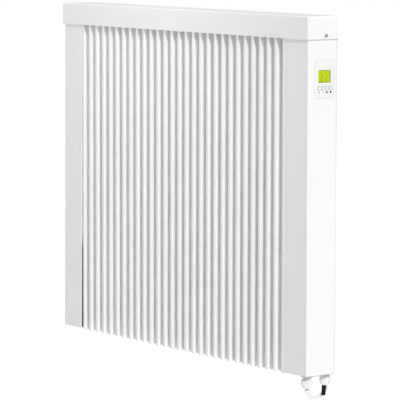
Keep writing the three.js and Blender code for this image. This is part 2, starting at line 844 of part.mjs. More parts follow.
// A gland drawn at the origin: flange under the plate, neck, dome nut and lock nut.
function makeGland(name, y) {
  const bore = disc(glandBore, nutFoot - 1, floorZ + glandThreadLength + 1);
  const body = joined(
    chamferedHexagon(glandHex, -glandFlange, 0, glandFlangeChamfer, false),
    disc(glandThread, -sheet, floorZ + glandThreadLength),
    disc(glandNeck, nutTop - glandNeckLength, -sheet),
  );
  const domeTop = nutFoot + glandNutDome;
  const hexNut = chamferedHexagon(glandHex, domeTop, nutTop, glandNutChamfer, true);
  const dome = turned([
    [0, nutFoot],
    [glandMouth / 2, nutFoot],
    [glandMouth / 2 + glandMouthEdge, nutFoot + glandNutDome / 4],
    [glandHex / 2, domeTop],
    [glandHex / 2, domeTop + seat],
    [0, domeTop + seat],
  ]);
  const socket = disc(glandNeck + 2 * seat, nutTop - glandNeckLength - seat, nutTop + 1);
  const place = (geometry) => geometry.translate(glandCentreX, y, 0);
  add(`${name}_gland_body`, place(cutBy(body, [bore])), whitePlastic);
  add(`${name}_gland_nut`, place(cutBy(joined(hexNut, dome), [bore, socket])), whitePlastic);
  const nutFrom = floorZ + sheet + seat;
  const lock = prism(hexagon(lockNutHex), nutFrom, nutFrom + lockNutThickness);
  const thread = disc(glandThread + 2 * seat, nutFrom - 1, nutFrom + lockNutThickness + 1);
  add(`${name}_gland_locknut`, place(cutBy(lock, [thread])), whitePlastic);
}

function makeProbe() {
  const r = probeDiameter / 2;
  const tip = Array.from({ length: probeTipSteps + 1 }, (_, i) => {
    const angle = (i * Math.PI) / (2 * probeTipSteps);
    return [r * Math.sin(angle), r - probeReach - r * Math.cos(angle)];
  });
  const probe = turned([...tip, [r, floorZ + glandThreadLength], [0, floorZ + glandThreadLength]]);
  add("room_sensor_probe", probe.translate(glandCentreX, rearGlandCentre, 0), blackPlastic);
}

function makeInnerLeads() {
  const from = floorZ + glandThreadLength + seat;
  const terminalX = rightBoardTo + seat + terminalDepth / 2;
  const mains = roundedLine(
    [
      [glandCentreX, frontGlandCentre, nutFoot + glandNutLength / 2],
      [glandCentreX, frontGlandCentre, terminalRise / 2],
      [terminalX, electricsY, terminalRise - innerLeadTurn],
      [terminalX, electricsY, terminalRise - seat],
    ],
    innerLeadBend,
  );
  add("inner_mains_lead", tube(mains, innerLead, innerLeadSteps), whiteRubber);
  const standX = trayBack - sensorLeadStand;
  const sensor = roundedLine(
    [
      [glandCentreX, rearGlandCentre, from],
      [glandCentreX, rearGlandCentre, leadHoleZ - sensorLeadRun],
      [standX, fasciaMiddleY, leadHoleZ - sensorLeadDrop],
      [standX, fasciaMiddleY, leadHoleZ],
      [trayBack - seat, fasciaMiddleY, leadHoleZ],
    ],
    sensorLeadBend,
  );
  add("sensor_lead", tube(sensor, thinLead, sensorLeadSteps, 6), blackPlastic);
}

// ---------------------------------------------------------------- mains cord

// The cord leaves the front gland, hangs in a shallow loop and rises in the gap behind the case.
// Points beside the gland's middle, across the case's depth and up.
const cordRoute = [
  [0, -20.2, -26.1],
  [-0.8, -17.6, -31.6],
  [-2.4, -12.0, -38.4],
  [-4.6, -4.4, -43.2],
  [-7.0, 4.6, -45.2],
  [-9.4, 14.4, -44.2],
  [-11.8, 24.0, -40.0],
  [-13.9, 32.6, -32.6],
  [-15.6, 39.6, -22.2],
  [-16.6, 44.0, -9.6],
  [-17.0, 45.5, 4],
  [-17.0, 45.5, 20],
  [-17.4, 45.5, 36],
  [-18.6, 45.5, 52],
  [-20.7, 45.5, 68],
  [-23.2, 45.5, 83],
];

function makeCord() {
  const points = cordRoute.map(([x, y, z]) => new THREE.Vector3(glandCentreX + x, y, z));
  const route = new THREE.CatmullRomCurve3(points);
  add("mains_lead", tube(route, cordDiameter, cordSteps, 10), whiteRubber);
}

// The coil: one ring of the turns' outer shape, flat against the rear panel.
function makeCoil() {
  const wide = (coilTurnsWide * cordDiameter) / 2;
  const deep = (coilTurnsDeep * cordDiameter) / 2;
  const ring = new THREE.LatheGeometry(
    [
      new THREE.Vector2(coilRadius - wide, -deep),
      new THREE.Vector2(coilRadius + wide, -deep),
      new THREE.Vector2(coilRadius + wide, deep),
      new THREE.Vector2(coilRadius - wide, deep),
      new THREE.Vector2(coilRadius - wide, -deep),
    ],
    coilSides,
  );
  add("mains_lead_coil", ring.translate(coilX, cordPlaneY, coilRise), whiteRubber);

  // A tie round the turns, and the saddle on the rear panel that it hangs from.
  const top = coilRise + coilRadius;
  const gap = seat + tieThickness;
  const band = block(
    [coilX - tieWidth / 2, cordPlaneY - deep - gap, top - wide - gap],
    [coilX + tieWidth / 2, cordPlaneY + deep + gap, top + wide + gap],
  );
  const through = block(
    [coilX - tieWidth, cordPlaneY - deep - seat, top - wide - seat],
    [coilX + tieWidth, cordPlaneY + deep + seat, top + wide + seat],
  );
  add("cord_tie", cutBy(band, [through]), blackPlastic);
  const half = saddleSide / 2;
  const saddle = block(
    [coilX - half, back + seat, top - half],
    [coilX + half, cordPlaneY - deep - gap - seat, top + half],
  );
  add("tie_saddle", saddle, whitePlastic);
}

// The lead's end: the sheath is stripped back to three cores with ferrules.
function makeLeadEnd() {
  const outer = coilRadius + (coilTurnsWide * cordDiameter) / 2;
  const nearest = coilRadius - cordDiameter / 2; // the sheath's inner side, from the coil's middle
  const top = coilRise - Math.sqrt(outer ** 2 - nearest ** 2) - seat;
  const sheath = disc(cordDiameter, top - tailLength, top, 10);
  const cores = [0, 1, 2].map((i) => {
    const angle = (i * 2 * Math.PI) / 3;
    const core = disc(coreDiameter, top - tailLength - coreLength, top - tailLength + 1, 8);
    return core.translate((cordDiameter / 4) * Math.cos(angle), (cordDiameter / 4) * Math.sin(angle), 0);
  });
  const end = joined(sheath, ...cores);
  add("lead_end", end.translate(coilX - coilRadius, cordPlaneY, 0), whiteRubber);
}

// ---------------------------------------------------------------- wall fixings

// A steel rail on the wall with two hooks that reach through the rear panel.
function makeWallRail() {
  const inner = wallY - railSheet;
  const plate = block(
    [-railWidth / 2, inner, railZ - railHeight / 2],
    [railWidth / 2, wallY, railZ + railHeight / 2],
  );
  const keyholes = [-keyholeX, keyholeX].map((x) =>
    block(
      [x - keyholeWidth / 2, inner - 1, railZ - keyholeLength / 2],
      [x + keyholeWidth / 2, wallY + 1, railZ + keyholeLength / 2],
    ),
  );
  const reach = rearInside - hookReach;
  const arms = hookPlaces.flatMap((x) => {
    const from = x - hookWidth / 2;
    const to = x + hookWidth / 2;
    return [
      block([from, reach, railZ], [to, wallY - railSheet / 2, railZ + railSheet]),
      block([from, reach, railZ], [to, reach + railSheet, railZ + railSheet + hookRise]),
    ];
  });
  add("wall_rail", joined(cutBy(plate, keyholes), ...arms), zincSteel);
}

// Low stand-offs that keep the case parallel to the wall.
function makeSpacers() {
  [["left", -1], ["right", 1]].forEach(([name, side]) => {
    const from = back + seat;
    const spacer = joined(
      alongY(disc(spacerFoot, from, from + spacerFootThickness)),
      alongY(disc(spacerDiameter, from + 1, wallY)),
    );
    spacer.translate(side * (halfWidth - spacerInset), 0, spacerRise);
    add(`wall_spacer_${name}`, spacer, whitePlastic);
  });
}

// ---------------------------------------------------------------- the heater

makeTopCap();
makeCapScrew("cap_screw_right", 1);
makeCapScrew("cap_screw_left", -1);
makeSidePanels();
makeRibbedFront();
makeRearPanel();
makeBottomPlate();
makeBricks();
makeHeatingRods();
makeCoreRails();
makeInsulation();
makeFascia();
makeDisplay();
makeButtons();
makeControlBoard();
makeControlCase();
makeElectrics();
makeGland("mains", frontGlandCentre);
makeGland("sensor", rearGlandCentre);
makeProbe();
makeInnerLeads();
makeCord();
makeCoil();
makeLeadEnd();
makeWallRail();
makeSpacers();

heater.position.set(0, -wallY, -railZ);

export default heater;
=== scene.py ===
# Storage heater for a wall: fine surfaces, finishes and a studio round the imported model.
# The ribbed front faces -Y, the wall would be at Y = 0, and pieces are drawn in millimetres.
import json
import math

import bmesh
import bpy
from mathutils import Matrix, Vector


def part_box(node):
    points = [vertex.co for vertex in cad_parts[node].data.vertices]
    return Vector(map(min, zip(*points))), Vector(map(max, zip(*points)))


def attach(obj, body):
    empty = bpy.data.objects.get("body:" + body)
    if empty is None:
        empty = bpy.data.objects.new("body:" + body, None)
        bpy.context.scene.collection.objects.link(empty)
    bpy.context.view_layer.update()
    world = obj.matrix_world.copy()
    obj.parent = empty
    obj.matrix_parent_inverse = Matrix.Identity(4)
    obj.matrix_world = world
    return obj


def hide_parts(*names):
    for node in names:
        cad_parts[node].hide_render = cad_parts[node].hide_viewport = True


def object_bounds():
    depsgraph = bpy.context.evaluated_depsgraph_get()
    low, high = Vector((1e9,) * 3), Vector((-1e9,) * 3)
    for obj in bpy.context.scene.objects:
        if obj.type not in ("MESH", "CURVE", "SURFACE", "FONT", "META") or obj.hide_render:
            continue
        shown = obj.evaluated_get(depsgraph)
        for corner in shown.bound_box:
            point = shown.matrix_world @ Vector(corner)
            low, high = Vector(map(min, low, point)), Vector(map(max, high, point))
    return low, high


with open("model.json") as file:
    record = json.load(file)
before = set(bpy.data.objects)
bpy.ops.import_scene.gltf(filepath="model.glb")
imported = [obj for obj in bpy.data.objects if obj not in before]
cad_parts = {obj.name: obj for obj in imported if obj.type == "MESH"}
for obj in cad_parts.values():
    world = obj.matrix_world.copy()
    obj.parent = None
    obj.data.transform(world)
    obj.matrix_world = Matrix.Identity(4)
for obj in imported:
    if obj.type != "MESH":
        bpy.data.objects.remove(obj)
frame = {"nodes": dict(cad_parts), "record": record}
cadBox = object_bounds()
mm = 0.001

camera = {
    "lookAt": (0.0064, -0.0468, -0.24738),
    "distance": 5.379,
    "azimuth": 53.79,  # degrees from straight in front, towards the right end
    "elevation": 6.081,
    "roll": 0.117,
    "focalLength": 257.2,
    "sensorWidth": 36,
}


def makeCamera():
    azimuth = math.radians(camera["azimuth"])
    elevation = math.radians(camera["elevation"])
    back = Vector((
        math.sin(azimuth) * math.cos(elevation),
        -math.cos(azimuth) * math.cos(elevation),
        math.sin(elevation),
    ))
    data = bpy.data.cameras.new("camera")
    data.lens = camera["focalLength"]
    data.sensor_width = camera["sensorWidth"]
    data.clip_end = 200
    thing = bpy.data.objects.new("camera", data)
    bpy.context.scene.collection.objects.link(thing)
    roll = Matrix.Rotation(math.radians(camera["roll"]), 4, "Z")
    place = Matrix.Translation(Vector(camera["lookAt"]) + back * camera["distance"])
    thing.matrix_world = place @ back.to_track_quat("Z", "Y").to_matrix().to_4x4() @ roll
    bpy.context.scene.camera = thing


makeCamera()
print("camera made")


def linear(hexColour):  # sRGB hex to linear RGBA
    parts = [int(hexColour[i:i + 2], 16) / 255 for i in (1, 3, 5)]
    return (*[c / 12.92 if c <= 0.04045 else ((c + 0.055) / 1.055) ** 2.4 for c in parts], 1.0)


def addNode(tree, kind, settings, links=None):
    # Settings go by socket name or number, or by the node's property; links go by socket.
    node = tree.nodes.new("ShaderNode" + kind)
    for name, value in settings.items():
        if isinstance(name, int) or name in node.inputs:
            node.inputs[name].default_value = value
        else:
            setattr(node, name, value)
    for name, source in (links or {}).items():
        tree.links.new(node.inputs[name], source)
    return node


def newMaterial(name, settings):
    material = bpy.data.materials.new(name)
    material.use_nodes = True
    tree = material.node_tree
    shader = tree.nodes["Principled BSDF"]
    for socket, value in settings.items():
        shader.inputs[socket].default_value = value
    place = addNode(tree, "TexCoord", {}).outputs["Object"]
    return material, tree, shader, place


def powderCoat():
    # Polyester powder baked on sheet steel: satin white, with an orange peel about 1.5 mm across
    # that breaks up the highlights, and a barely uneven film.
    material, tree, shader, place = newMaterial("powder coat, white", {"Specular IOR Level": 0.25})
    film = addNode(tree, "TexNoise", {"Scale": 1 / (90 * mm), "Detail": 2}, {"Vector": place})
    colour = addNode(tree, "Mix", {
        "data_type": "RGBA", 6: linear("#F0F0EF"), 7: linear("#EBECEB"),
    }, {0: film.outputs["Fac"]})
    peel = addNode(tree, "TexNoise", {"Scale": 1 / (1.5 * mm), "Detail": 1.5}, {"Vector": place})
    rough = addNode(tree, "MapRange", {
        "From Min": 0.3, "From Max": 0.7, "To Min": 0.36, "To Max": 0.46,
    }, {"Value": peel.outputs["Fac"]})
    relief = addNode(tree, "Bump", {
        "Strength": 0.6, "Distance": 0.02 * mm,
    }, {"Height": peel.outputs["Fac"]})
    tree.links.new(shader.inputs["Base Color"], colour.outputs[2])
    tree.links.new(shader.inputs["Roughness"], rough.outputs["Result"])
    tree.links.new(shader.inputs["Normal"], relief.outputs["Normal"])
    return material


def mouldedPlastic(name, colour, shade, roughness, grain=0.5, depth=0.01, gloss=0.5):
    # Injection-moulded thermoplastic: the tool's fine even grain, grain mm across, gives a soft
    # sheen, and the colour drifts slightly where the melt flowed.
    material, tree, shader, place = newMaterial(name, {"Specular IOR Level": gloss})
    flow = addNode(tree, "TexNoise", {"Scale": 1 / (14 * mm), "Detail": 2}, {"Vector": place})
    tint = addNode(tree, "Mix", {
        "data_type": "RGBA", 6: linear(colour), 7: linear(shade),
    }, {0: flow.outputs["Fac"]})
    fine = addNode(tree, "TexNoise", {"Scale": 1 / (grain * mm), "Detail": 2}, {"Vector": place})
    rough = addNode(tree, "MapRange", {
        "From Min": 0.3, "From Max": 0.7, "To Min": roughness - 0.04, "To Max": roughness + 0.06,
    }, {"Value": fine.outputs["Fac"]})
    relief = addNode(tree, "Bump", {
        "Strength": 0.6, "Distance": depth * mm,
    }, {"Height": fine.outputs["Fac"]})
    tree.links.new(shader.inputs["Base Color"], tint.outputs[2])
    tree.links.new(shader.inputs["Roughness"], rough.outputs["Result"])
    tree.links.new(shader.inputs["Normal"], relief.outputs["Normal"])
    return material


def zincPlate():
    # Bright zinc on rolled steel: blue-grey and cloudy, with faint lines along the rolling,
    # 0.8 mm apart.
    material, tree, shader, place = newMaterial("zinc plated steel", {"Metallic": 1.0})
    cloud = addNode(tree, "TexNoise", {"Scale": 1 / (9 * mm), "Detail": 3}, {"Vector": place})
    colour = addNode(tree, "Mix", {
        "data_type": "RGBA", 6: linear("#A9ADB3"), 7: linear("#CBCDCF"),
    }, {0: cloud.outputs["Fac"]})
    along = addNode(tree, "Mapping", {"Scale": (0.06, 1, 1)}, {"Vector": place})
    rolled = addNode(tree, "TexNoise", {
        "Scale": 1 / (0.8 * mm), "Detail": 3,
    }, {"Vector": along.outputs["Vector"]})
    rough = addNode(tree, "MapRange", {
        "From Min": 0.3, "From Max": 0.7, "To Min": 0.24, "To Max": 0.44,
    }, {"Value": rolled.outputs["Fac"]})
    relief = addNode(tree, "Bump", {
        "Strength": 0.5, "Distance": 0.006 * mm,
    }, {"Height": rolled.outputs["Fac"]})
    tree.links.new(shader.inputs["Base Color"], colour.outputs[2])
    tree.links.new(shader.inputs["Roughness"], rough.outputs["Result"])
    tree.links.new(shader.inputs["Normal"], relief.outputs["Normal"])
    return material


def fireclay():
    # Pressed and fired clay with grog: dry and brown, speckled with grains about 2 mm across.
    material, tree, shader, place = newMaterial("fireclay", {"Roughness": 0.93})
    grog = addNode(tree, "TexNoise", {
        "Scale": 1 / (2 * mm), "Detail": 4, "Roughness": 0.65,
    }, {"Vector": place})
    colour = addNode(tree, "Mix", {
        "data_type": "RGBA", 6: linear("#8A6444"), 7: linear("#CDAA84"),
    }, {0: grog.outputs["Fac"]})
    relief = addNode(tree, "Bump", {
        "Strength": 0.8, "Distance": 0.35 * mm,
    }, {"Height": grog.outputs["Fac"]})
    tree.links.new(shader.inputs["Base Color"], colour.outputs[2])
    tree.links.new(shader.inputs["Normal"], relief.outputs["Normal"])
    return material


def mineralBoard():
    # Pressed mineral fibre: off-white felt with fibres about 1 mm wide lying along the board.
    material, tree, shader, place = newMaterial("mineral fibre board", {"Roughness": 0.95})
    along = addNode(tree, "Mapping", {"Scale": (0.25, 1, 1)}, {"Vector": place})
    fibre = addNode(tree, "TexNoise", {
        "Scale": 1 / (1.1 * mm), "Detail": 5,
    }, {"Vector": along.outputs["Vector"]})
    colour = addNode(tree, "Mix", {
        "data_type": "RGBA", 6: linear("#BEB7A4"), 7: linear("#E8E4D8"),
    }, {0: fibre.outputs["Fac"]})
    relief = addNode(tree, "Bump", {
        "Strength": 0.8, "Distance": 0.25 * mm,
    }, {"Height": fibre.outputs["Fac"]})
    tree.links.new(shader.inputs["Base Color"], colour.outputs[2])
    tree.links.new(shader.inputs["Normal"], relief.outputs["Normal"])
    return material


def oxidisedSteel():
    # Drawn steel sheath that has glowed: dark scale with straw patches about 16 mm long.
    material, tree, shader, place = newMaterial("oxidised steel", {"Metallic": 1.0})
    patch = addNode(tree, "TexNoise", {"Scale": 1 / (16 * mm), "Detail": 3}, {"Vector": place})
    colour = addNode(tree, "Mix", {
        "data_type": "RGBA", 6: linear("#454347"), 7: linear("#7A6A52"),
    }, {0: patch.outputs["Fac"]})
    rough = addNode(tree, "MapRange", {
        "To Min": 0.3, "To Max": 0.6,
    }, {"Value": patch.outputs["Fac"]})
    tree.links.new(shader.inputs["Base Color"], colour.outputs[2])
    tree.links.new(shader.inputs["Roughness"], rough.outputs["Result"])
    return material


def solderMask():
    # Glass-epoxy board under green lacquer: glossy, with paler copper tracks 6 mm apart.
    material, tree, shader, place = newMaterial("solder mask, green", {"Roughness": 0.3})
    tracks = addNode(tree, "TexBrick", {
        "Scale": 1 / (12 * mm), "Mortar Size": 0.04, "Color1": linear("#12603A"),
        "Color2": linear("#0F5733"), "Mortar": linear("#2F8A58"),
    }, {"Vector": place})
    relief = addNode(tree, "Bump", {
        "Strength": 0.5, "Distance": 0.03 * mm,
    }, {"Height": tracks.outputs["Fac"]})
    tree.links.new(shader.inputs["Base Color"], tracks.outputs["Color"])
    tree.links.new(shader.inputs["Normal"], relief.outputs["Normal"])
    return material


def liquidCrystal():
    # Backlit display: lime-yellow light through a matt polariser, slightly uneven as the lamp is.
    material, tree, shader, place = newMaterial("liquid crystal, lit", {
        "Roughness": 0.5, "Specular IOR Level": 0.1, "Emission Strength": 0.3,
    })
    glow = addNode(tree, "TexNoise", {"Scale": 1 / (16 * mm), "Detail": 0}, {"Vector": place})
    colour = addNode(tree, "Mix", {
        "data_type": "RGBA", 6: linear("#BFD31E"), 7: linear("#D2DE20"),
    }, {0: glow.outputs["Fac"]})
    tree.links.new(shader.inputs["Base Color"], colour.outputs[2])
    tree.links.new(shader.inputs["Emission Color"], colour.outputs[2])
    return material


def clearAcrylic():
    # Cast acrylic, coated against glare: it mirrors next to nothing, hence the low index,
    # and has the slight waviness of a thin window.
    material, tree, shader, place = newMaterial("acrylic, clear", {
        "Base Color": linear("#FDFEF8"), "Roughness": 0.05, "Transmission Weight": 1.0, "IOR": 1.12,
    })
    wave = addNode(tree, "TexNoise", {"Scale": 1 / (9 * mm), "Detail": 0}, {"Vector": place})
    relief = addNode(tree, "Bump", {
        "Strength": 0.3, "Distance": 0.01 * mm,
    }, {"Height": wave.outputs["Fac"]})
    tree.links.new(shader.inputs["Normal"], relief.outputs["Normal"])
    return material


finishes = {
    "white_steel": powderCoat(),
    "zinc_steel": zincPlate(),
    "white_plastic": mouldedPlastic("polyamide, white", "#EDEEEC", "#E5E7E5", 0.4, 0.6, 0.012),
    "grey_plastic": mouldedPlastic("ABS, grey", "#7E8286", "#767A7E", 0.5),
    "black_plastic": mouldedPlastic(
        "polyamide, black", "#121314", "#18191A", 0.3, 0.8, 0.012, 0.12,
    ),
    "white_cable": mouldedPlastic("PVC sheath, white", "#F7F7F5", "#F2F2EF", 0.36, 1.4, 0.02),
    "fireclay": fireclay(),
    "insulation_board": mineralBoard(),
    "rod_steel": oxidisedSteel(),
    "circuit_board": solderMask(),
    "display": liquidCrystal(),
    "display_pane": clearAcrylic(),
}
fasciaPlastic = mouldedPlastic("ABS, white", "#EDEDEC", "#E9E9E8", 0.34, 0.45, 0.008)
buttonPlastic = mouldedPlastic("ABS, white, polished", "#F1F1F0", "#EEEEED", 0.26, 0.4, 0.005)
darkInk = mouldedPlastic("pad print, dark grey", "#2C2F31", "#36393B", 0.5)
# Pale grey for the line along the fascia's edges.
borderGrey = mouldedPlastic("pale grey border line", "#D3D5D6", "#D9DBDC", 0.5)
paleInk = mouldedPlastic("pad print, light grey", "#B9BCBE", "#C1C4C5", 0.5)
crystalInk = mouldedPlastic("liquid crystal, dark", "#8B990E", "#93A113", 0.5, gloss=0.1)
# Grey for rings on the buttons' crowns: painted shade of the gaps round the buttons.
gapShadeGrey = mouldedPlastic("button gap, painted shade", "#A2A4A7", "#AAACAE", 0.5, gloss=0.2)
# The flanges are white polyamide like the nuts; this grey is painted shade of their shadowed left
# sides.
flangeShadeGrey = mouldedPlastic("polyamide, greyed as painted shade", "#C9CBCB", "#D0D2D2", 0.45)
# Dark grey standing in for shade: painted contact shade under the glands and painted shade along
# the right panel's foot.
shadeGrey = mouldedPlastic("dark grey, painted shade", "#3E4043", "#46484B", 0.7)
brownCore = mouldedPlastic("core insulation, brown", "#6A3F22", "#75482A", 0.42)
blueCore = mouldedPlastic("core insulation, blue", "#2D5C9A", "#3465A6", 0.42)
greenCore = mouldedPlastic("core insulation, green and yellow", "#4C8A3A", "#D0C83A", 0.42)

slotOf = {part["node"]: part["material_slot"] for part in frame["record"]["subparts"]}
for node, slot in slotOf.items():
    data = frame["nodes"][node].data
    data.materials.clear()
    data.materials.append(finishes[slot])
print("finishes made")


def boxOf(node):  # corners and middle, in mm
    low, high = (Vector(corner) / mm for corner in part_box(node))
    return low, high, (low + high) / 2


weldReach = 0.001  # mm, corners nearer than this become one


def addPiece(name, bm, material, replaced=(), body="case"):
    bmesh.ops.remove_doubles(bm, verts=bm.verts, dist=weldReach)
    bmesh.ops.recalc_face_normals(bm, faces=bm.faces)
    bmesh.ops.scale(bm, vec=(mm, mm, mm), verts=bm.verts)
    mesh = bpy.data.meshes.new(name)
    bm.to_mesh(mesh)
    bm.free()
    mesh.materials.append(material)
    smoothFaces(mesh)
    piece = bpy.data.objects.new(name, mesh)
    bpy.context.scene.collection.objects.link(piece)
    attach(piece, body)
    if replaced:
        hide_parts(*replaced)
    return piece


def smoothFaces(mesh, sharpest=32):  # degrees, edges that turn more stay sharp
    mesh.shade_smooth()
    mesh.set_sharp_from_angle(angle=math.radians(sharpest))


def easeEdges(piece, width, segments=2, angle=40):  # rounds the edges, keeps the flats flat
    bevel = piece.modifiers.new("eased edges", "BEVEL")
    bevel.width = width * mm
    bevel.segments = segments
    bevel.limit_method = "ANGLE"
    bevel.angle_limit = math.radians(angle)
    normals = piece.modifiers.new("flat faces", "WEIGHTED_NORMAL")
    normals.keep_sharp = True


def cut(piece, tool, operation="DIFFERENCE"):
    bmesh.ops.recalc_face_normals(tool, faces=tool.faces)
    bmesh.ops.scale(tool, vec=(mm, mm, mm), verts=tool.verts)
    mesh = bpy.data.meshes.new("tool")
    tool.to_mesh(mesh)
    tool.free()
    thing = bpy.data.objects.new("tool", mesh)
    bpy.context.scene.collection.objects.link(thing)
    boolean = piece.modifiers.new("cut", "BOOLEAN")
    boolean.operation = operation
    boolean.solver = "EXACT"
    boolean.use_self = True
    boolean.object = thing
    graph = bpy.context.evaluated_depsgraph_get()
    done = bpy.data.meshes.new_from_object(piece.evaluated_get(graph))
    piece.modifiers.clear()
    piece.data = done
    bpy.data.objects.remove(thing)
    smoothFaces(done)


easedEdges = {  # nodes whose own solids are right, and how wide their edges are rounded
    "rear_panel": 0.2,
    "bottom_plate": 0.2,
    "wall_rail": 0.3,
    "wall_spacer_left": 0.5,
    "wall_spacer_right": 0.5,
    "tie_saddle": 0.4,
}


def easedCopy(node):
    slot = slotOf[node]
    bm = bmesh.new()
    bm.from_mesh(frame["nodes"][node].data)
    bmesh.ops.scale(bm, vec=(1 / mm, 1 / mm, 1 / mm), verts=bm.verts)
    bmesh.ops.remove_doubles(bm, verts=bm.verts, dist=weldReach)
    bmesh.ops.dissolve_limit(bm, angle_limit=math.radians(1), verts=bm.verts, edges=bm.edges)
    easeEdges(addPiece(node + "_eased", bm, finishes[slot], [node]), easedEdges[node])


def rectangle(left, right, foot, top):
    return [(left, foot), (right, foot), (right, top), (left, top)]


def prism(bm, outline, low, high, axes="XYZ"):  # drawn on the first two axes, run along the third
    order = ["XYZ".index(axis) for axis in axes]
    ends = []
    for level in (low, high):
        ring = []
        for point in outline:
            place = [0, 0, 0]
            for axis, value in zip(order, (*point, level)):
                place[axis] = value
            ring.append(bm.verts.new(place))
        ends.append(ring)
    bm.faces.new(ends[0])
    bm.faces.new(ends[1])
    for i in range(len(outline)):
        bm.faces.new((ends[0][i - 1], ends[0][i], ends[1][i], ends[1][i - 1]))
    return bm


def foldedSheet(bm, line, thickness, radii, low, high, steps=6):  # one radius for each fold
    points = [Vector(p) for p in line]
    ways = [(b - a).normalized() for a, b in zip(points, points[1:])]
    spine = [(points[0], Vector((-ways[0].y, ways[0].x)))]
    for point, before, after, radius in zip(points[1:], ways, ways[1:], radii):
        side = math.copysign(1, before.x * after.y - before.y * after.x)
        turn = math.acos(max(-1, min(1, before.dot(after))))
        normal = Vector((-before.y, before.x))
        centre = point - before * radius * math.tan(turn / 2) + normal * side * radius
        for k in range(steps + 1):
            swung = Matrix.Rotation(side * turn * k / steps, 2) @ normal
            spine.append((centre - swung * side * radius, swung))
    spine.append((points[-1], Vector((-ways[-1].y, ways[-1].x))))
    rows = []
    for middle, normal in spine:
        one, other = middle + normal * 0.5 * thickness, middle - normal * 0.5 * thickness
        rows.append([
            bm.verts.new((spot.x, spot.y, level))
            for spot, level in ((one, low), (other, low), (other, high), (one, high))
        ])
    for row, after in zip(rows, rows[1:]):
        for i in range(4):
            bm.faces.new((row[i - 1], row[i], after[i], after[i - 1]))
    bm.faces.new(rows[0])
    bm.faces.new(rows[-1])
    return bm


def turned(bm, profile, centre, axis=(0, 0, 1), steps=48):
    # The profile is a line of (radius, place along the axis), measured from the centre.
    axis = Vector(axis)
    side = axis.orthogonal().normalized()
    across = axis.cross(side)
    rings = []
    for radius, along in profile:
        count = steps if radius > 0 else 1
        rings.append([
            bm.verts.new(
                Vector(centre) + axis * along
                + side * radius * math.cos(2 * math.pi * k / steps)
                + across * radius * math.sin(2 * math.pi * k / steps)
            )
            for k in range(count)
        ])
    for one, two in zip(rings, rings[1:]):
        for k in range(steps):
            corners = (one[k - 1 if len(one) > 1 else 0], one[k % len(one)],
                       two[k % len(two)], two[k - 1 if len(two) > 1 else 0])
            corners = list(dict.fromkeys(corners))
            if len(corners) > 2:
                bm.faces.new(corners)
    return bm


def arc(x, y, radius, start, end, steps=6):
    angles = [math.radians(start + (end - start) * k / steps) for k in range(steps + 1)]
    return [(x + radius * math.cos(a), y + radius * math.sin(a)) for a in angles]


def roundedRectangle(x, y, width, height, radius):
    right, top = width / 2 - radius, height / 2 - radius
    return [
        *arc(x + right, y - top, radius, -90, 0), *arc(x + right, y + top, radius, 0, 90),
        *arc(x - right, y + top, radius, 90, 180), *arc(x - right, y - top, radius, 180, 270),
    ]


def spread(length, pitch):
    count = int(length / pitch) + 1
    return [(i - (count - 1) / 2) * pitch for i in range(count)]


lead = {
    "diameter": 7,
    "length": 1.05,  # metres, along the sheath
    # From the front gland round the loop and up behind the case, counted from the middle of the
    # case's depth and from its lower edge.
    "route": (
        (373, -20.2, -26.1), (372.2, -17.6, -31.6), (370.6, -12, -38.4), (368.4, -4.4, -43.2),
        (366, 4.6, -45.2), (363.6, 14.4, -44.2), (361.2, 24, -40), (359.1, 32.6, -32.6),
        (357.4, 39.6, -22.2), (356.4, 44, -9.6), (356, 45.5, 4), (356, 45.5, 20),
        (355.6, 45.5, 36), (354.4, 45.5, 52), (352.3, 45.5, 68),
    ),
    "routeZero": (0, 58, 528),  # from there to the part's zero on the wall
    "entry": (46.6, -1.8, -12),  # into the coil, from its middle
    "turns": ((41.5, -3.5), (34.5, -3.5), (34.5, 3.5), (41.5, 3.5)),  # radius and layer of each
    "turnCount": 3.5,
    "pointsPerTurn": 28,
    "stepFrom": 0.75,  # share of a turn after which it eases over to the next
    "tail": (9, 18, 26),  # drops of its points below the coil
    "tailLean": (3, -3.5),  # of its tip, to the right and to the front
    "coreLength": 22,
    "coreDiameter": 2.5,
    "coreRing": 1.6,  # from the lead's middle to a core's
    "coreSplay": 0.02,
    "coreSides": 20,
    "ferrule": ((0, 0), (1.55, 0), (1.35, 3), (0.8, 4), (0.8, 8.7), (0.6, 9), (0, 9)),
    "ferruleFrom": 20,  # along the core
}


def leadPoints():
    middle = boxOf("mains_lead_coil")[2]
    points = [Vector(point) - Vector(lead["routeZero"]) for point in lead["route"]]
    points.append(middle + Vector(lead["entry"]))
    turns, perTurn, stepFrom = lead["turns"], lead["pointsPerTurn"], lead["stepFrom"]
    for k in range(int(lead["turnCount"] * perTurn) + 1):
        n, share = divmod(k / perTurn, 1)
        share = max((share - stepFrom) / (1 - stepFrom), 0)
        share = share * share * (3 - 2 * share)
        here, after = turns[int(n)], turns[min(int(n) + 1, len(turns) - 1)]
        radius, layer = (a + (b - a) * share for a, b in zip(here, after))
        angle = 2 * math.pi * k / perTurn
        points.append(middle + Vector((radius * math.cos(angle), layer, radius * math.sin(angle))))
    tip = points[-1]
    right, front = lead["tailLean"]
    for drop in lead["tail"]:
        lean = drop / lead["tail"][-1]
        points.append(tip + Vector((right * lean, front * lean, -drop)))
    return points


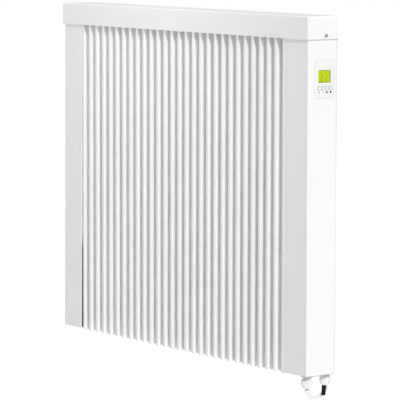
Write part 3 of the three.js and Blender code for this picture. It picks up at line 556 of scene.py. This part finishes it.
def makeCores(end):
    pieces = []
    words = (("brown", brownCore), ("blue", blueCore), ("earth", greenCore))
    for k, (word, material) in enumerate(words):
        around = 2 * math.pi * k / len(words)
        out = Vector((math.cos(around), math.sin(around), 0))
        start = end + out * lead["coreRing"]
        way = (out * lead["coreSplay"] + Vector((0, 0, -1))).normalized()
        r, long, sides = lead["coreDiameter"] / 2, lead["coreLength"], lead["coreSides"]
        core = turned(bmesh.new(), [(0, -1), (r, -1), (r, long), (0, long)], start, way, sides)
        pieces.append(addPiece("lead_core_" + word, core, material))
        ferrule = turned(
            bmesh.new(), lead["ferrule"], start + way * lead["ferruleFrom"], way, sides,
        )
        pieces.append(addPiece(
            "lead_ferrule_" + word, ferrule, finishes["zinc_steel"],
        ))
    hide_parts("lead_end")
    return pieces


def makeLead():
    points = leadPoints()
    curve = bpy.data.curves.new("mains_lead_sheath", "CURVE")
    curve.dimensions = "3D"
    curve.bevel_depth = lead["diameter"] / 2 * mm
    curve.bevel_resolution = 6
    curve.resolution_u = 4
    curve.use_fill_caps = True
    spline = curve.splines.new("NURBS")
    spline.points.add(len(points) - 1)
    for point, place in zip(spline.points, points):
        point.co = (*(place * mm), 1)
    spline.use_endpoint_u = True
    spline.order_u = 4
    curve.materials.append(finishes["white_cable"])
    sheath = bpy.data.objects.new("mains_lead_sheath", curve)
    bpy.context.scene.collection.objects.link(sheath)
    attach(sheath, "case")
    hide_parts("mains_lead", "mains_lead_coil")
    ends = makeCores(points[-1])


makeLead()
print("mains lead made")

sheetEdge = {"width": 0.15, "segments": 1, "angle": 60}  # along the cut edges of the steel sheets

ribs = {
    "count": 29,
    "width": 8.2,
    "bend": 1.2,
    "drop": 1.8,  # of the sheet's lower edge below the columns
    "flange": 8,  # of flat sheet beyond the outer ribs
    "lastGroove": 2.2,  # the groove before the last rib is wider by this
    "firstTrim": 1.5,  # the first rib is narrower by this
    "sheet": 1.2,
}


def makeRibbedFront():
    low, high, _ = boxOf("ribbed_front_panel")
    half, width = ribs["sheet"] / 2, ribs["width"]
    floor, crest = high.y - half, low.y + half
    first = low.x + ribs["flange"]
    last = ribs["count"] - 1
    pitch = (high.x - ribs["flange"] - width - ribs["lastGroove"] - first) / last
    line = [(low.x, floor)]
    for i in range(ribs["count"]):
        left = first + i * pitch + half + (ribs["lastGroove"] if i == last else 0)
        right = left + width - ribs["sheet"]
        if i == 0:
            left += ribs["firstTrim"]
        line += [(left, floor), (left, crest), (right, crest), (right, floor)]
    line.append((high.x, floor))
    bends = [ribs["bend"]] * (len(line) - 2)
    sheet = foldedSheet(bmesh.new(), line, ribs["sheet"], bends, low.z - ribs["drop"], high.z)
    piece = addPiece(
        "ribbed_front", sheet, finishes["white_steel"], ["ribbed_front_panel"],
    )
    easeEdges(piece, **sheetEdge)


sides = {
    "sheet": 1.2,
    "bend": 1.2,
    "rearBend": 0.15,
    "bendSteps": 8,
    "returnDepth": 10,  # of the fold beside the ribs
    "rearFlange": 14,
    "windowInset": 0.9,  # of the hole for the control panel, inside its edge
    "strip": (0.55, 3, 0.1),  # dark grey strip under the right panel, painted shade of its folded foot: height, inset at its ends, set back
    "widen": 2.4,  # of the left panel towards the ribs
    "openDepth": 1.5,  # of the left panel's return at its foot, where the gap shows dark
    "openFrom": (160, 270),  # heights between which that return deepens
    "shade_sheet": (13, 4.2, 1, 1),  # a black sheet behind the left gap, painted shade of the dark inside: reach, depth, thickness, start above the foot
    "leanTop": 3,  # the left panel's top sits this much nearer to the ribs
    "leanFoot": -2.2,
}


def foldSide(low, high, inner, outer, side):
    half = sides["sheet"] / 2
    line = [
        (inner + side * half, low.y + half), (outer - side * half, low.y + half),
        (outer - side * half, high.y - half), (outer - side * sides["rearFlange"], high.y - half),
    ]
    bends = [sides["bend"], sides["rearBend"]]
    if side > 0:
        line.insert(0, (inner + half, low.y + sides["returnDepth"] - half))
        bends.insert(0, sides["bend"])
    return foldedSheet(
        bmesh.new(), line, sides["sheet"], bends, low.z, high.z, sides["bendSteps"],
    )


def openGap(sheet, low, high, inner):  # the left panel's return, a black sheet behind it as painted shade, and the lean
    start, end = sides["openFrom"]
    deep, shallow = low.y + sides["returnDepth"], low.y + sides["openDepth"]
    edge = low.y + sides["sheet"] / 2
    prism(sheet, [
        (edge, low.z), (shallow, low.z), (shallow, low.z + start), (deep, low.z + end),
        (deep, high.z), (edge, high.z),
    ], inner - sides["sheet"], inner, "YZX")
    # A black sheet behind the gap: painted shade, standing in for the dark inside seen through it.
    reach, depth, thick, rise = sides["shade_sheet"]
    shade_sheet = rectangle(inner - reach, inner, low.y + depth, low.y + depth + thick)
    addPiece(
        "gap_shade_sheet", prism(bmesh.new(), shade_sheet, low.z + rise, low.z + end),
        finishes["black_plastic"],
    )
    for vert in sheet.verts:
        share = (vert.co.z - low.z) / (high.z - low.z)
        vert.co.x += sides["leanFoot"] + (sides["leanTop"] - sides["leanFoot"]) * share


def fitPanelHole(piece, low, high):  # the hole for the control panel, and a dark grey strip at the foot as painted shade
    a, b, _ = boxOf("control_fascia")
    inset, sheet = sides["windowInset"], sides["sheet"]
    hole = rectangle(a.y + inset, b.y - inset, a.z + inset, b.z - inset)
    cut(piece, prism(bmesh.new(), hole, high.x - 3 * sheet, high.x + sheet, "YZX"))
    # A dark grey strip along the panel's foot: painted shade of the folded bottom edge.
    height, ends, back = sides["strip"]
    strip = rectangle(high.x - sheet, high.x - back, low.y + ends, high.y - ends)
    addPiece(
        "edge_shade_strip", prism(bmesh.new(), strip, low.z - height, low.z), shadeGrey,
    )


def makeSidePanels():
    for name, side in (("right_side_panel", 1), ("left_side_panel", -1)):
        low, high, _ = boxOf(name)
        outer, inner = (high.x, low.x) if side > 0 else (low.x, high.x + sides["widen"])
        sheet = foldSide(low, high, inner, outer, side)
        if side < 0:
            openGap(sheet, low, high, inner)
        piece = addPiece(name + "_folded", sheet, finishes["white_steel"], [name])
        if side > 0:
            fitPanelHole(piece, low, high)
        easeEdges(piece, **sheetEdge)


cap = {
    "sheet": 1.2,
    "fold": 2.2,
    "foldSegments": 7,
    "edge": 0.2,
    "slotLength": 22,
    "slotWidth": 4.5,
    "slotSteps": 8,  # on each round end
    "slotPitch": 33,
    "slotRows": (-15, 0, 15),
    "slotMiddle": -50,  # from the wall
    "slotSpan": 693,
    "cutReach": 3,  # of the slots' cutters below and above the cap's top
}


def makeCap():
    low, high, middle = boxOf("top_cap")
    bm = bmesh.new()
    bmesh.ops.create_cube(bm, size=1)
    for vert in bm.verts:
        vert.co = Vector(middle[i] + vert.co[i] * (high[i] - low[i]) for i in range(3))
    bm.normal_update()
    underside = [f for f in bm.faces if f.normal.z < -0.5]
    bmesh.ops.delete(bm, geom=underside, context="FACES_ONLY")
    folds = [e for e in bm.edges if len(e.link_faces) == 2]
    bmesh.ops.bevel(
        bm, geom=folds, offset=cap["fold"], segments=cap["foldSegments"], affect="EDGES",
        profile=0.5,
    )
    piece = addPiece("cap_folded", bm, finishes["white_steel"], ["top_cap"])
    shell = piece.modifiers.new("sheet", "SOLIDIFY")
    shell.thickness = cap["sheet"] * mm
    shell.offset = -1
    shell.use_even_offset = True
    slots = bmesh.new()
    radius, reach = cap["slotWidth"] / 2, (cap["slotLength"] - cap["slotWidth"]) / 2
    for row in cap["slotRows"]:
        for x in spread(cap["slotSpan"], cap["slotPitch"]):
            y = cap["slotMiddle"] + row
            outline = arc(x + reach, y, radius, -90, 90, cap["slotSteps"])
            outline += arc(x - reach, y, radius, 90, 270, cap["slotSteps"])
            prism(slots, outline, high.z - cap["cutReach"], high.z + cap["cutReach"])
    cut(piece, slots)
    easeEdges(piece, cap["edge"], angle=60)


screw = {
    "head": 3.5,
    "height": 2,
    "rim": 0.5,
    "shank": 1.75,
    "domeStep": 9,  # degrees
    "sides": 40,
    "recess": (2.8, 0.9, 4.2),  # depth, width and length of each arm of the cross
    "recessRise": 0.2,  # of the arms' middle above the head
    "turn": 24,
}


def makeCapScrews():
    for name, side in (("cap_screw_right", 1), ("cap_screw_left", -1)):
        low, high, centre = boxOf(name)
        centre.x = high.x - screw["height"] if side > 0 else low.x + screw["height"]
        length = high.x - low.x - screw["height"]
        rim, swell = screw["rim"], screw["height"] - screw["rim"]
        lifts = [math.radians(a) for a in range(0, 90, screw["domeStep"])]
        dome = [(screw["head"] * math.cos(a), rim + swell * math.sin(a)) for a in lifts]
        shank = screw["shank"]
        profile = [(0, -length), (shank, -length), (shank, 0), (screw["head"], 0), *dome]
        profile.append((0, screw["height"]))
        bm = turned(bmesh.new(), profile, centre, (side, 0, 0), screw["sides"])
        piece = addPiece(name + "_head", bm, finishes["zinc_steel"], [name])
        cross = bmesh.new()
        top = centre + Vector((side * (screw["height"] + screw["recessRise"]), 0, 0))
        for angle in (screw["turn"], screw["turn"] + 90):
            spin = Matrix.Rotation(math.radians(angle), 3, "X")
            for vert in bmesh.ops.create_cube(cross, size=1)["verts"]:
                arm = [size * share for size, share in zip(screw["recess"], vert.co)]
                vert.co = spin @ Vector(arm) + top
        cut(piece, cross)


makeRibbedFront()
makeSidePanels()
makeCap()
makeCapScrews()
easedCopy("rear_panel")
easedCopy("bottom_plate")
print("case made")

panel = {
    "corner": 1.2,
    "edge": 0.3,
    "plate": 1,  # thickness of the plate without its walls
    "thickness": 1.6,  # of the moulded face, as the buttons' collars meet it
    "wall": 1.2,
    "wallInset": 2,
    "wallLap": 0.1,  # of the walls into the plate
    "windowGap": 0.3,
    "windowWiden": 1.2,  # of the window towards the front
    "windowCorner": 0.8,
    "holeDiameter": 8,
    "holeChamfer": 0.25,
    "holeReach": (3, 1),  # of the cutters behind and before the face
    "border": (0.2, 0.9),  # pale grey line, from and to this far inside the edge
    "print": (0.02, 0.03),  # how far the line lies below and above the face
}
button = {
    "count": 4,
    "diameter": 7.2,
    "edge": 0.25,
    "dish": 0.2,
    "dishInset": 0.3,  # inside the rounded edge
    "dishRings": 8,
    "collar": 8.4,
    "collarThickness": 0.8,
    "collarGap": 0.3,  # behind the face
    "stem": 3,
    "sides": 56,
    "rim": 0.65,  # width of the grey ring round the crown: painted shade of the gap round the button
    "rimProud": 0.03,
    "rimDepth": 0.3,
    "rimSink": 0.1,  # inside the button's side
}
display = {
    "paneCorner": 0.6,
    "paneSink": 0.2,  # of the pane's front behind the CAD pane's
    "paneEdge": 0.15,
    "film": 0.05,  # thickness of the dark segments
    "rim": 0.9,  # width of the dark edge round the lit area
    "digits": "21",
    "digitPitch": 8.3,
    "digitHeight": 8.6,
    "digitWidth": 3.8,
    "stroke": 0.8,
    "strokeCorner": 0.24,
    "drop": 2.8,  # from the middle of the window
    "shift": -1.2,
    "segments": {"2": "abged", "1": "bc"},
}


def cutFascia(piece, face):
    behind, before = panel["holeReach"]
    low, high, middle = boxOf("display_pane")
    widen, gap = panel["windowWiden"], panel["windowGap"]
    window = roundedRectangle(
        middle.y - widen / 2, middle.z, high.y - low.y + widen + 2 * gap,
        high.z - low.z + 2 * gap, panel["windowCorner"],
    )
    holes = prism(bmesh.new(), window, face - behind, face + before, "YZX")
    r, chamfer = panel["holeDiameter"] / 2, panel["holeChamfer"]
    for n in range(1, button["count"] + 1):
        centre = boxOf("button_%d" % n)[2]
        centre.x = face
        turned(holes, [
            (0, -behind), (r, -behind), (r, -chamfer), (r + chamfer, 0), (r + chamfer, before),
            (0, before),
        ], centre, (1, 0, 0))
    cut(piece, holes)


def drawBorderLine(middle, size, face):
    outside, inside = panel["border"]
    below, above = panel["print"]
    outer = roundedRectangle(
        middle.y, middle.z, size.y - 2 * outside, size.z - 2 * outside, panel["corner"] - outside,
    )
    inner = roundedRectangle(  # twice as wide, so that it opens the line at the front
        middle.y - size.y / 2, middle.z, 2 * (size.y - inside), size.z - 2 * inside,
        panel["corner"] - inside,
    )
    border = addPiece(
        "fascia_border", prism(bmesh.new(), outer, face - below, face + above, "YZX"), borderGrey,
    )
    cut(border, prism(bmesh.new(), inner, face - panel["plate"], face + panel["plate"], "YZX"))


def makeFascia():
    low, high, middle = boxOf("control_fascia")
    size, face = high - low, high.x
    outline = roundedRectangle(middle.y, middle.z, size.y, size.z, panel["corner"])
    plate = prism(bmesh.new(), outline, face - panel["plate"], face, "YZX")
    piece = addPiece("fascia_plate", plate, fasciaPlastic, ["control_fascia"])
    easeEdges(piece, panel["edge"], 4, 50)
    cutFascia(piece, face)
    drawBorderLine(middle, size, face)
    inset, half = panel["wallInset"], panel["wall"] / 2
    left, right, foot, top = low.y + inset, high.y - inset, low.z + inset, high.z - inset
    walls = bmesh.new()
    for y0, y1, z0, z1 in (
        (left, right, foot, foot), (right, right, foot, top),
        (left, right, top, top), (left, left, foot, top),
    ):
        wall = rectangle(y0 - half, y1 + half, z0 - half, z1 + half)
        prism(walls, wall, low.x, face - panel["plate"] + panel["wallLap"], "YZX")
    addPiece("fascia_walls", walls, fasciaPlastic)


def makeDisplay():
    low, high, _ = boxOf("display_pane")
    low.y -= panel["windowWiden"]
    middle = (low + high) / 2
    outline = roundedRectangle(
        middle.y, middle.z, high.y - low.y, high.z - low.z, display["paneCorner"],
    )
    pane = prism(bmesh.new(), outline, low.x, high.x - display["paneSink"], "YZX")
    piece = addPiece(
        "display_window", pane, finishes["display_pane"], ["display_pane"],
    )
    easeEdges(piece, display["paneEdge"], angle=50)
    face = boxOf("display_module")[1].x
    front = face + display["film"]
    h, w, s = display["digitHeight"], display["digitWidth"], display["stroke"]
    segments = {  # middle, width and height of each bar of a digit
        "a": (0, h / 2, w, s), "d": (0, -h / 2, w, s), "g": (0, 0, w, s),
        "b": (w / 2, h / 4, s, h / 2), "c": (w / 2, -h / 4, s, h / 2),
        "f": (-w / 2, h / 4, s, h / 2), "e": (-w / 2, -h / 4, s, h / 2),
    }
    digits = bmesh.new()
    for i, digit in enumerate(display["digits"]):
        step = i - (len(display["digits"]) - 1) / 2
        y = middle.y + display["shift"] + step * display["digitPitch"]
        z = middle.z - display["drop"]
        for letter in display["segments"][digit]:
            dy, dz, wide, tall = segments[letter]
            wide, tall = max(wide - s / 2, s), max(tall - s / 2, s)
            bar = roundedRectangle(y + dy, z + dz, wide, tall, display["strokeCorner"])
            prism(digits, bar, face, front, "YZX")
    addPiece("display_digits", digits, crystalInk)
    rim = display["rim"]
    bars = bmesh.new()
    for bar in (
        (low.y, high.y, low.z, low.z + rim), (low.y, high.y, high.z - rim, high.z),
        (low.y, low.y + rim, low.z + rim, high.z - rim),
        (high.y - rim, high.y, low.z + rim, high.z - rim),
    ):
        prism(bars, rectangle(*bar), face, front, "YZX")
    addPiece("display_edge", bars, crystalInk)


def makeButtons():
    r, edge, dish, rings = (
        button["diameter"] / 2, button["edge"], button["dish"], button["dishRings"],
    )
    stem, collar = button["stem"] / 2, button["collar"] / 2
    stop = boxOf("control_fascia")[1].x - panel["thickness"] - button["collarGap"]
    back = stop - button["collarThickness"]
    for n in range(1, button["count"] + 1):
        name = "button_%d" % n
        low, high, centre = boxOf(name)
        top = high.x
        centre.x = 0
        profile = [
            (0, low.x), (stem, low.x), (stem, back), (collar, back), (collar, stop), (r, stop),
        ]
        profile += arc(r - edge, top - edge, edge, 0, 90)
        bowl = r - edge - button["dishInset"]
        profile += [
            (bowl * k / rings, top - dish * (1 - (k / rings) ** 2)) for k in range(rings, -1, -1)
        ]
        body = turned(bmesh.new(), profile, centre, (1, 0, 0), button["sides"])
        addPiece("push_" + name, body, buttonPlastic, [name], name)
        # A grey ring round the crown: painted shade of the gap between the button and its hole.
        start, proud = (r - button["rimSink"], top - edge), button["rimProud"]
        band = [start, *arc(r - edge, top - edge, edge + proud, 0, 90)]
        inner = r - button["rim"]
        band += [(inner, top + proud), (inner, top - button["rimDepth"]), start]
        ring = turned(bmesh.new(), band, centre, (1, 0, 0), button["sides"])
        addPiece("gap_shade_ring_" + name, ring, gapShadeGrey, [], name)


marks = {
    "drop": 7,  # from the middle of a button
    "print": (0.01, 0.05),  # how far they lie below and above the face
    "shapes": (
        [arc(0, -0.3, 1.2, 0, 337.5, 15)],  # a dot
        [rectangle(-1.5, 1.5, -0.35, 0.35), rectangle(-0.35, 0.35, 0.4, 1.5),
         rectangle(-0.35, 0.35, -1.5, -0.4)],  # a plus
        [[(-1.8, -1.9), (1.8, -1.9), (1.8, 0.5), (0, 2.1), (-1.8, 0.5)]],  # a house
        [arc(0, 0, 2.1, 0, 345, 23)],  # a disc
    ),
    "inks": (darkInk, paleInk, darkInk, darkInk),
}


def makeMarks():
    face = boxOf("control_fascia")[1].x
    below, above = marks["print"]
    for n, (outlines, ink) in enumerate(zip(marks["shapes"], marks["inks"]), 1):
        centre = boxOf("button_%d" % n)[2]
        mark = bmesh.new()
        for outline in outlines:
            moved = [(centre.y + y, centre.z - marks["drop"] + z) for y, z in outline]
            prism(mark, moved, face - below, face + above, "YZX")
        addPiece("mark_%d" % n, mark, ink)


makeFascia()
makeDisplay()
makeButtons()
makeMarks()
print("control panel made")

gland = {
    "acrossFlats": 19,
    "shadeRing": 1.1,  # thickness of the dark grey ring under the case: painted contact shade between flange and case
    "shadeRingRadius": 9.6,
    "flangeChamfer": 3.2,
    "flangeRise": 0.8,  # of the chamfer's cone beyond that
    "flangeSpare": 0.2,  # of that cone round the corners
    "flangeReach": 9,  # of the cutter above the nut
    "flangeEdge": 0.3,
    "flangeSides": 64,  # of the chamfer's cone
    "threadRadius": 7.5,
    "threadDepth": 0.45,
    "threadPitch": 1.5,
    "threadFrom": 1.2,  # above the case's underside
    "stemRadius": 6.6,
    "stemInNut": 3,
    "stemInFlange": 0.5,
    "nutGap": 0.1,  # between the nut and the flange
    "topChamfer": 3.3,
    "shoulder": (0.3, 0.2, 0.7),  # under that chamfer: width, rise, and share of the grip left
    "neckGap": 0.3,  # round the stem
    "neckDepth": 2.5,
    "nutHeight": 17.3,
    "domeHeight": 5.6,
    "domeSteps": 12,
    "gripFrom": 0.8,  # above the dome
    "mouthRadius": 5.3,
    "boreRadius": 4.2,
    "boreChamfer": 0.7,
    "sides": 144,
    "cornerShare": 1.1,  # how far the grip's rounded corners stand out from its flats
    "grooveCount": 3,  # on each flat of the nut
    "grooveDepth": 0.35,
    "grooveSpan": 0.42,  # radians from a flat's middle
    "grooveSharpness": 8,
    "raised": {"mains_gland": 1.1, "sensor_gland": 3.4},  # the rear one is screwed up further
}


def gripRing():  # for each side of the nut its angle, its radius on the grip, and its groove
    flat = gland["acrossFlats"] / 2
    grip = []
    for k in range(gland["sides"]):
        angle = 2 * math.pi * k / gland["sides"]
        fromFlat = (angle + math.pi / 6) % (math.pi / 3) - math.pi / 6
        radius = min(flat / math.cos(fromFlat), flat * gland["cornerShare"])
        wave = math.cos(fromFlat * 6 * gland["grooveCount"]) ** gland["grooveSharpness"]
        groove = wave * gland["grooveDepth"] if abs(fromFlat) < gland["grooveSpan"] else 0
        grip.append((angle, radius, groove))
    return grip


def makeNut(name, x, y, foot, top):
    flat, dome, trim = gland["acrossFlats"] / 2, gland["domeHeight"], gland["topChamfer"]
    mouth, bore, chamfer = gland["mouthRadius"], gland["boreRadius"], gland["boreChamfer"]
    rings = []  # radius, height, and how much of the grip shows there
    for k in range(gland["domeSteps"] + 1):
        lift = math.radians(90 * k / gland["domeSteps"])
        radius = mouth + (flat - mouth) * math.sin(lift)
        rings.append((radius, foot + dome * (1 - math.cos(lift)), 0))
    width, rise, left = gland["shoulder"]
    neck, seat = gland["stemRadius"] + gland["neckGap"], top - gland["neckDepth"]
    rings += [
        (flat, foot + dome + gland["gripFrom"], 1), (flat, top - trim - width, 1),
        (flat - width, top - trim + rise, left), (flat - trim, top, 0), (neck, top, 0),
        (neck, seat, 0), (bore, seat, 0), (bore, foot + chamfer, 0), (bore + chamfer, foot, 0),
    ]
    bm, grip, loops = bmesh.new(), gripRing(), []
    for radius, z, share in rings:
        loop = []
        for angle, full, groove in grip:
            r = radius + (full - flat) * share - groove * share
            loop.append(bm.verts.new((x + r * math.cos(angle), y + r * math.sin(angle), z)))
        loops.append(loop)
    for one, two in zip(loops, loops[1:] + loops[:1]):
        for k in range(gland["sides"]):
            bm.faces.new((one[k - 1], one[k], two[k], two[k - 1]))
    addPiece(
        name + "_dome", bm, finishes["white_plastic"], [name + "_nut"],
    )


def makeFlange(name, x, y, foot, top):
    flat, corner = gland["acrossFlats"] / 2, gland["acrossFlats"] / math.sqrt(3)
    angles = [math.pi * k / 3 for k in range(6)]
    outline = [(x + corner * math.cos(a), y + corner * math.sin(a)) for a in angles]
    # The flange's grey is painted shade.
    piece = addPiece(
        name + "_hexagon", prism(bmesh.new(), outline, foot, top), flangeShadeGrey,
        [name + "_body"],
    )
    trim = min(gland["flangeChamfer"], top - foot)
    wide, reach = corner + gland["flangeSpare"], gland["flangeReach"]
    cut(piece, turned(bmesh.new(), [
        (0, -1), (flat - trim, -1), (flat - trim, 0), (wide, trim + gland["flangeRise"]),
        (wide, reach), (0, reach),
    ], (x, y, foot), steps=gland["flangeSides"]), "INTERSECT")
    easeEdges(piece, gland["flangeEdge"], 3, 25)


def makeGland(name):
    _, high, middle = boxOf(name + "_nut")
    top = boxOf(name + "_body")[1].z
    x, y = middle.x, middle.y
    plate = boxOf("right_side_panel")[0].z
    nutTop = high.z + gland["raised"][name]
    foot, under = nutTop + gland["nutGap"], plate - gland["shadeRing"]
    bore, rim = gland["boreRadius"], gland["shadeRingRadius"]
    # A dark grey ring under the case round the bore: painted contact shade where the flange meets
    # the case.
    shadeOutline = [(bore, under), (rim, under), (rim, plate), (bore, plate), (bore, under)]
    shadeRing = turned(bmesh.new(), shadeOutline, (x, y, 0))
    addPiece(name + "_shadeRing", shadeRing, shadeGrey)
    makeFlange(name, x, y, foot, under)
    r, pitch, stem = gland["threadRadius"], gland["threadPitch"], gland["stemRadius"]
    root, start = r - gland["threadDepth"], high.z - gland["stemInNut"]
    profile = [(bore, start), (stem, start), (stem, foot + gland["stemInFlange"])]
    z = plate + gland["threadFrom"]
    while z < top - pitch:
        profile += [(root, z), (r, z + pitch / 2)]
        z += pitch
    profile += [(root, top), (bore, top), (bore, start)]
    thread = turned(bmesh.new(), profile, (x, y, 0))
    addPiece(name + "_thread", thread, finishes["white_plastic"])
    makeNut(name, x, y, nutTop - gland["nutHeight"], nutTop)


probe = {
    "tipRadius": 2.8,
    "shorter": 2.6,
    "lean": 4.5,  # degrees from plumb, from the nut's middle down
    "leanWay": (-0.59, -0.81),
    "leanFrom": 33,  # above the tip
}


def makeProbe():
    low, high, middle = boxOf("room_sensor_probe")
    r, tip, foot = (high.x - low.x) / 2, probe["tipRadius"], low.z + probe["shorter"]
    profile = [(0, foot), *arc(r - tip, foot + tip, tip, -90, 0, 8), (r, high.z), (0, high.z)]
    rod = turned(bmesh.new(), profile, (middle.x, middle.y, 0))
    slope = math.tan(math.radians(probe["lean"]))
    for vert in rod.verts:
        shift = max(0, low.z + probe["leanFrom"] - vert.co.z) * slope
        vert.co.x += probe["leanWay"][0] * shift
        vert.co.y += probe["leanWay"][1] * shift
    addPiece(
        "sensor_probe", rod, finishes["black_plastic"], ["room_sensor_probe"],
    )


makeGland("mains_gland")
makeGland("sensor_gland")
makeProbe()
print("glands made")

for node in ("wall_rail", "wall_spacer_left", "wall_spacer_right", "tie_saddle"):
    easedCopy(node)
print("wall side made")

studio = {
    "floorDrop": 0.65,  # metres below the lead's loop
    "floorSize": 160,
    "world": 0.13,
    "key": (2.32, (0.703, -0.242, 0.669), 5),  # strength, where it comes from, spread in degrees
    "top": (1.43, (0.02, 0.05, 1.0), 30),
    "sunDistance": 4,
    "softboxPower": 0.8,
    "softboxPlace": (-0.06, -0.55, 0.35),
    "softboxTarget": (-0.06, -0.09, 0.09),
    "softboxSize": 0.25,
}


def addLight(kind, name, place, target, settings):
    data = bpy.data.lights.new(name, kind)
    for word, value in settings.items():
        setattr(data, word, value)
    thing = bpy.data.objects.new(name, data)
    thing.location = place
    thing.rotation_euler = (Vector(place) - Vector(target)).to_track_quat("Z", "Y").to_euler()
    bpy.context.scene.collection.objects.link(thing)


def makeStudio():
    scene = bpy.context.scene
    scene.view_settings.view_transform = "Standard"
    scene.world = bpy.data.worlds.new("studio")
    scene.world.use_nodes = True
    background = scene.world.node_tree.nodes["Background"]
    background.inputs["Color"].default_value = linear("#FFFFFF")
    background.inputs["Strength"].default_value = studio["world"]
    target = Vector(camera["lookAt"])
    for name in ("key", "top"):
        strength, way, spreadAngle = studio[name]
        addLight("SUN", name, target + Vector(way) * studio["sunDistance"], target, {
            "energy": strength, "angle": math.radians(spreadAngle),
        })
    addLight("AREA", "softbox", studio["softboxPlace"], studio["softboxTarget"], {
        "energy": studio["softboxPower"], "size": studio["softboxSize"],
    })
    bm = bmesh.new()
    bmesh.ops.create_grid(bm, x_segments=8, y_segments=8, size=studio["floorSize"] / 2)
    mesh = bpy.data.meshes.new("floor")
    bm.to_mesh(mesh)
    bm.free()
    floor = bpy.data.objects.new("floor", mesh)
    floor.location = (0, 0, cadBox[0][2] - studio["floorDrop"])
    scene.collection.objects.link(floor)
    # Matt white background paper: it scatters the light and mirrors nothing.
    paper = newMaterial("paper, white", {"Base Color": linear("#FCFCFC"), "Roughness": 0.9})[0]
    mesh.materials.append(paper)


makeStudio()
print("studio made")
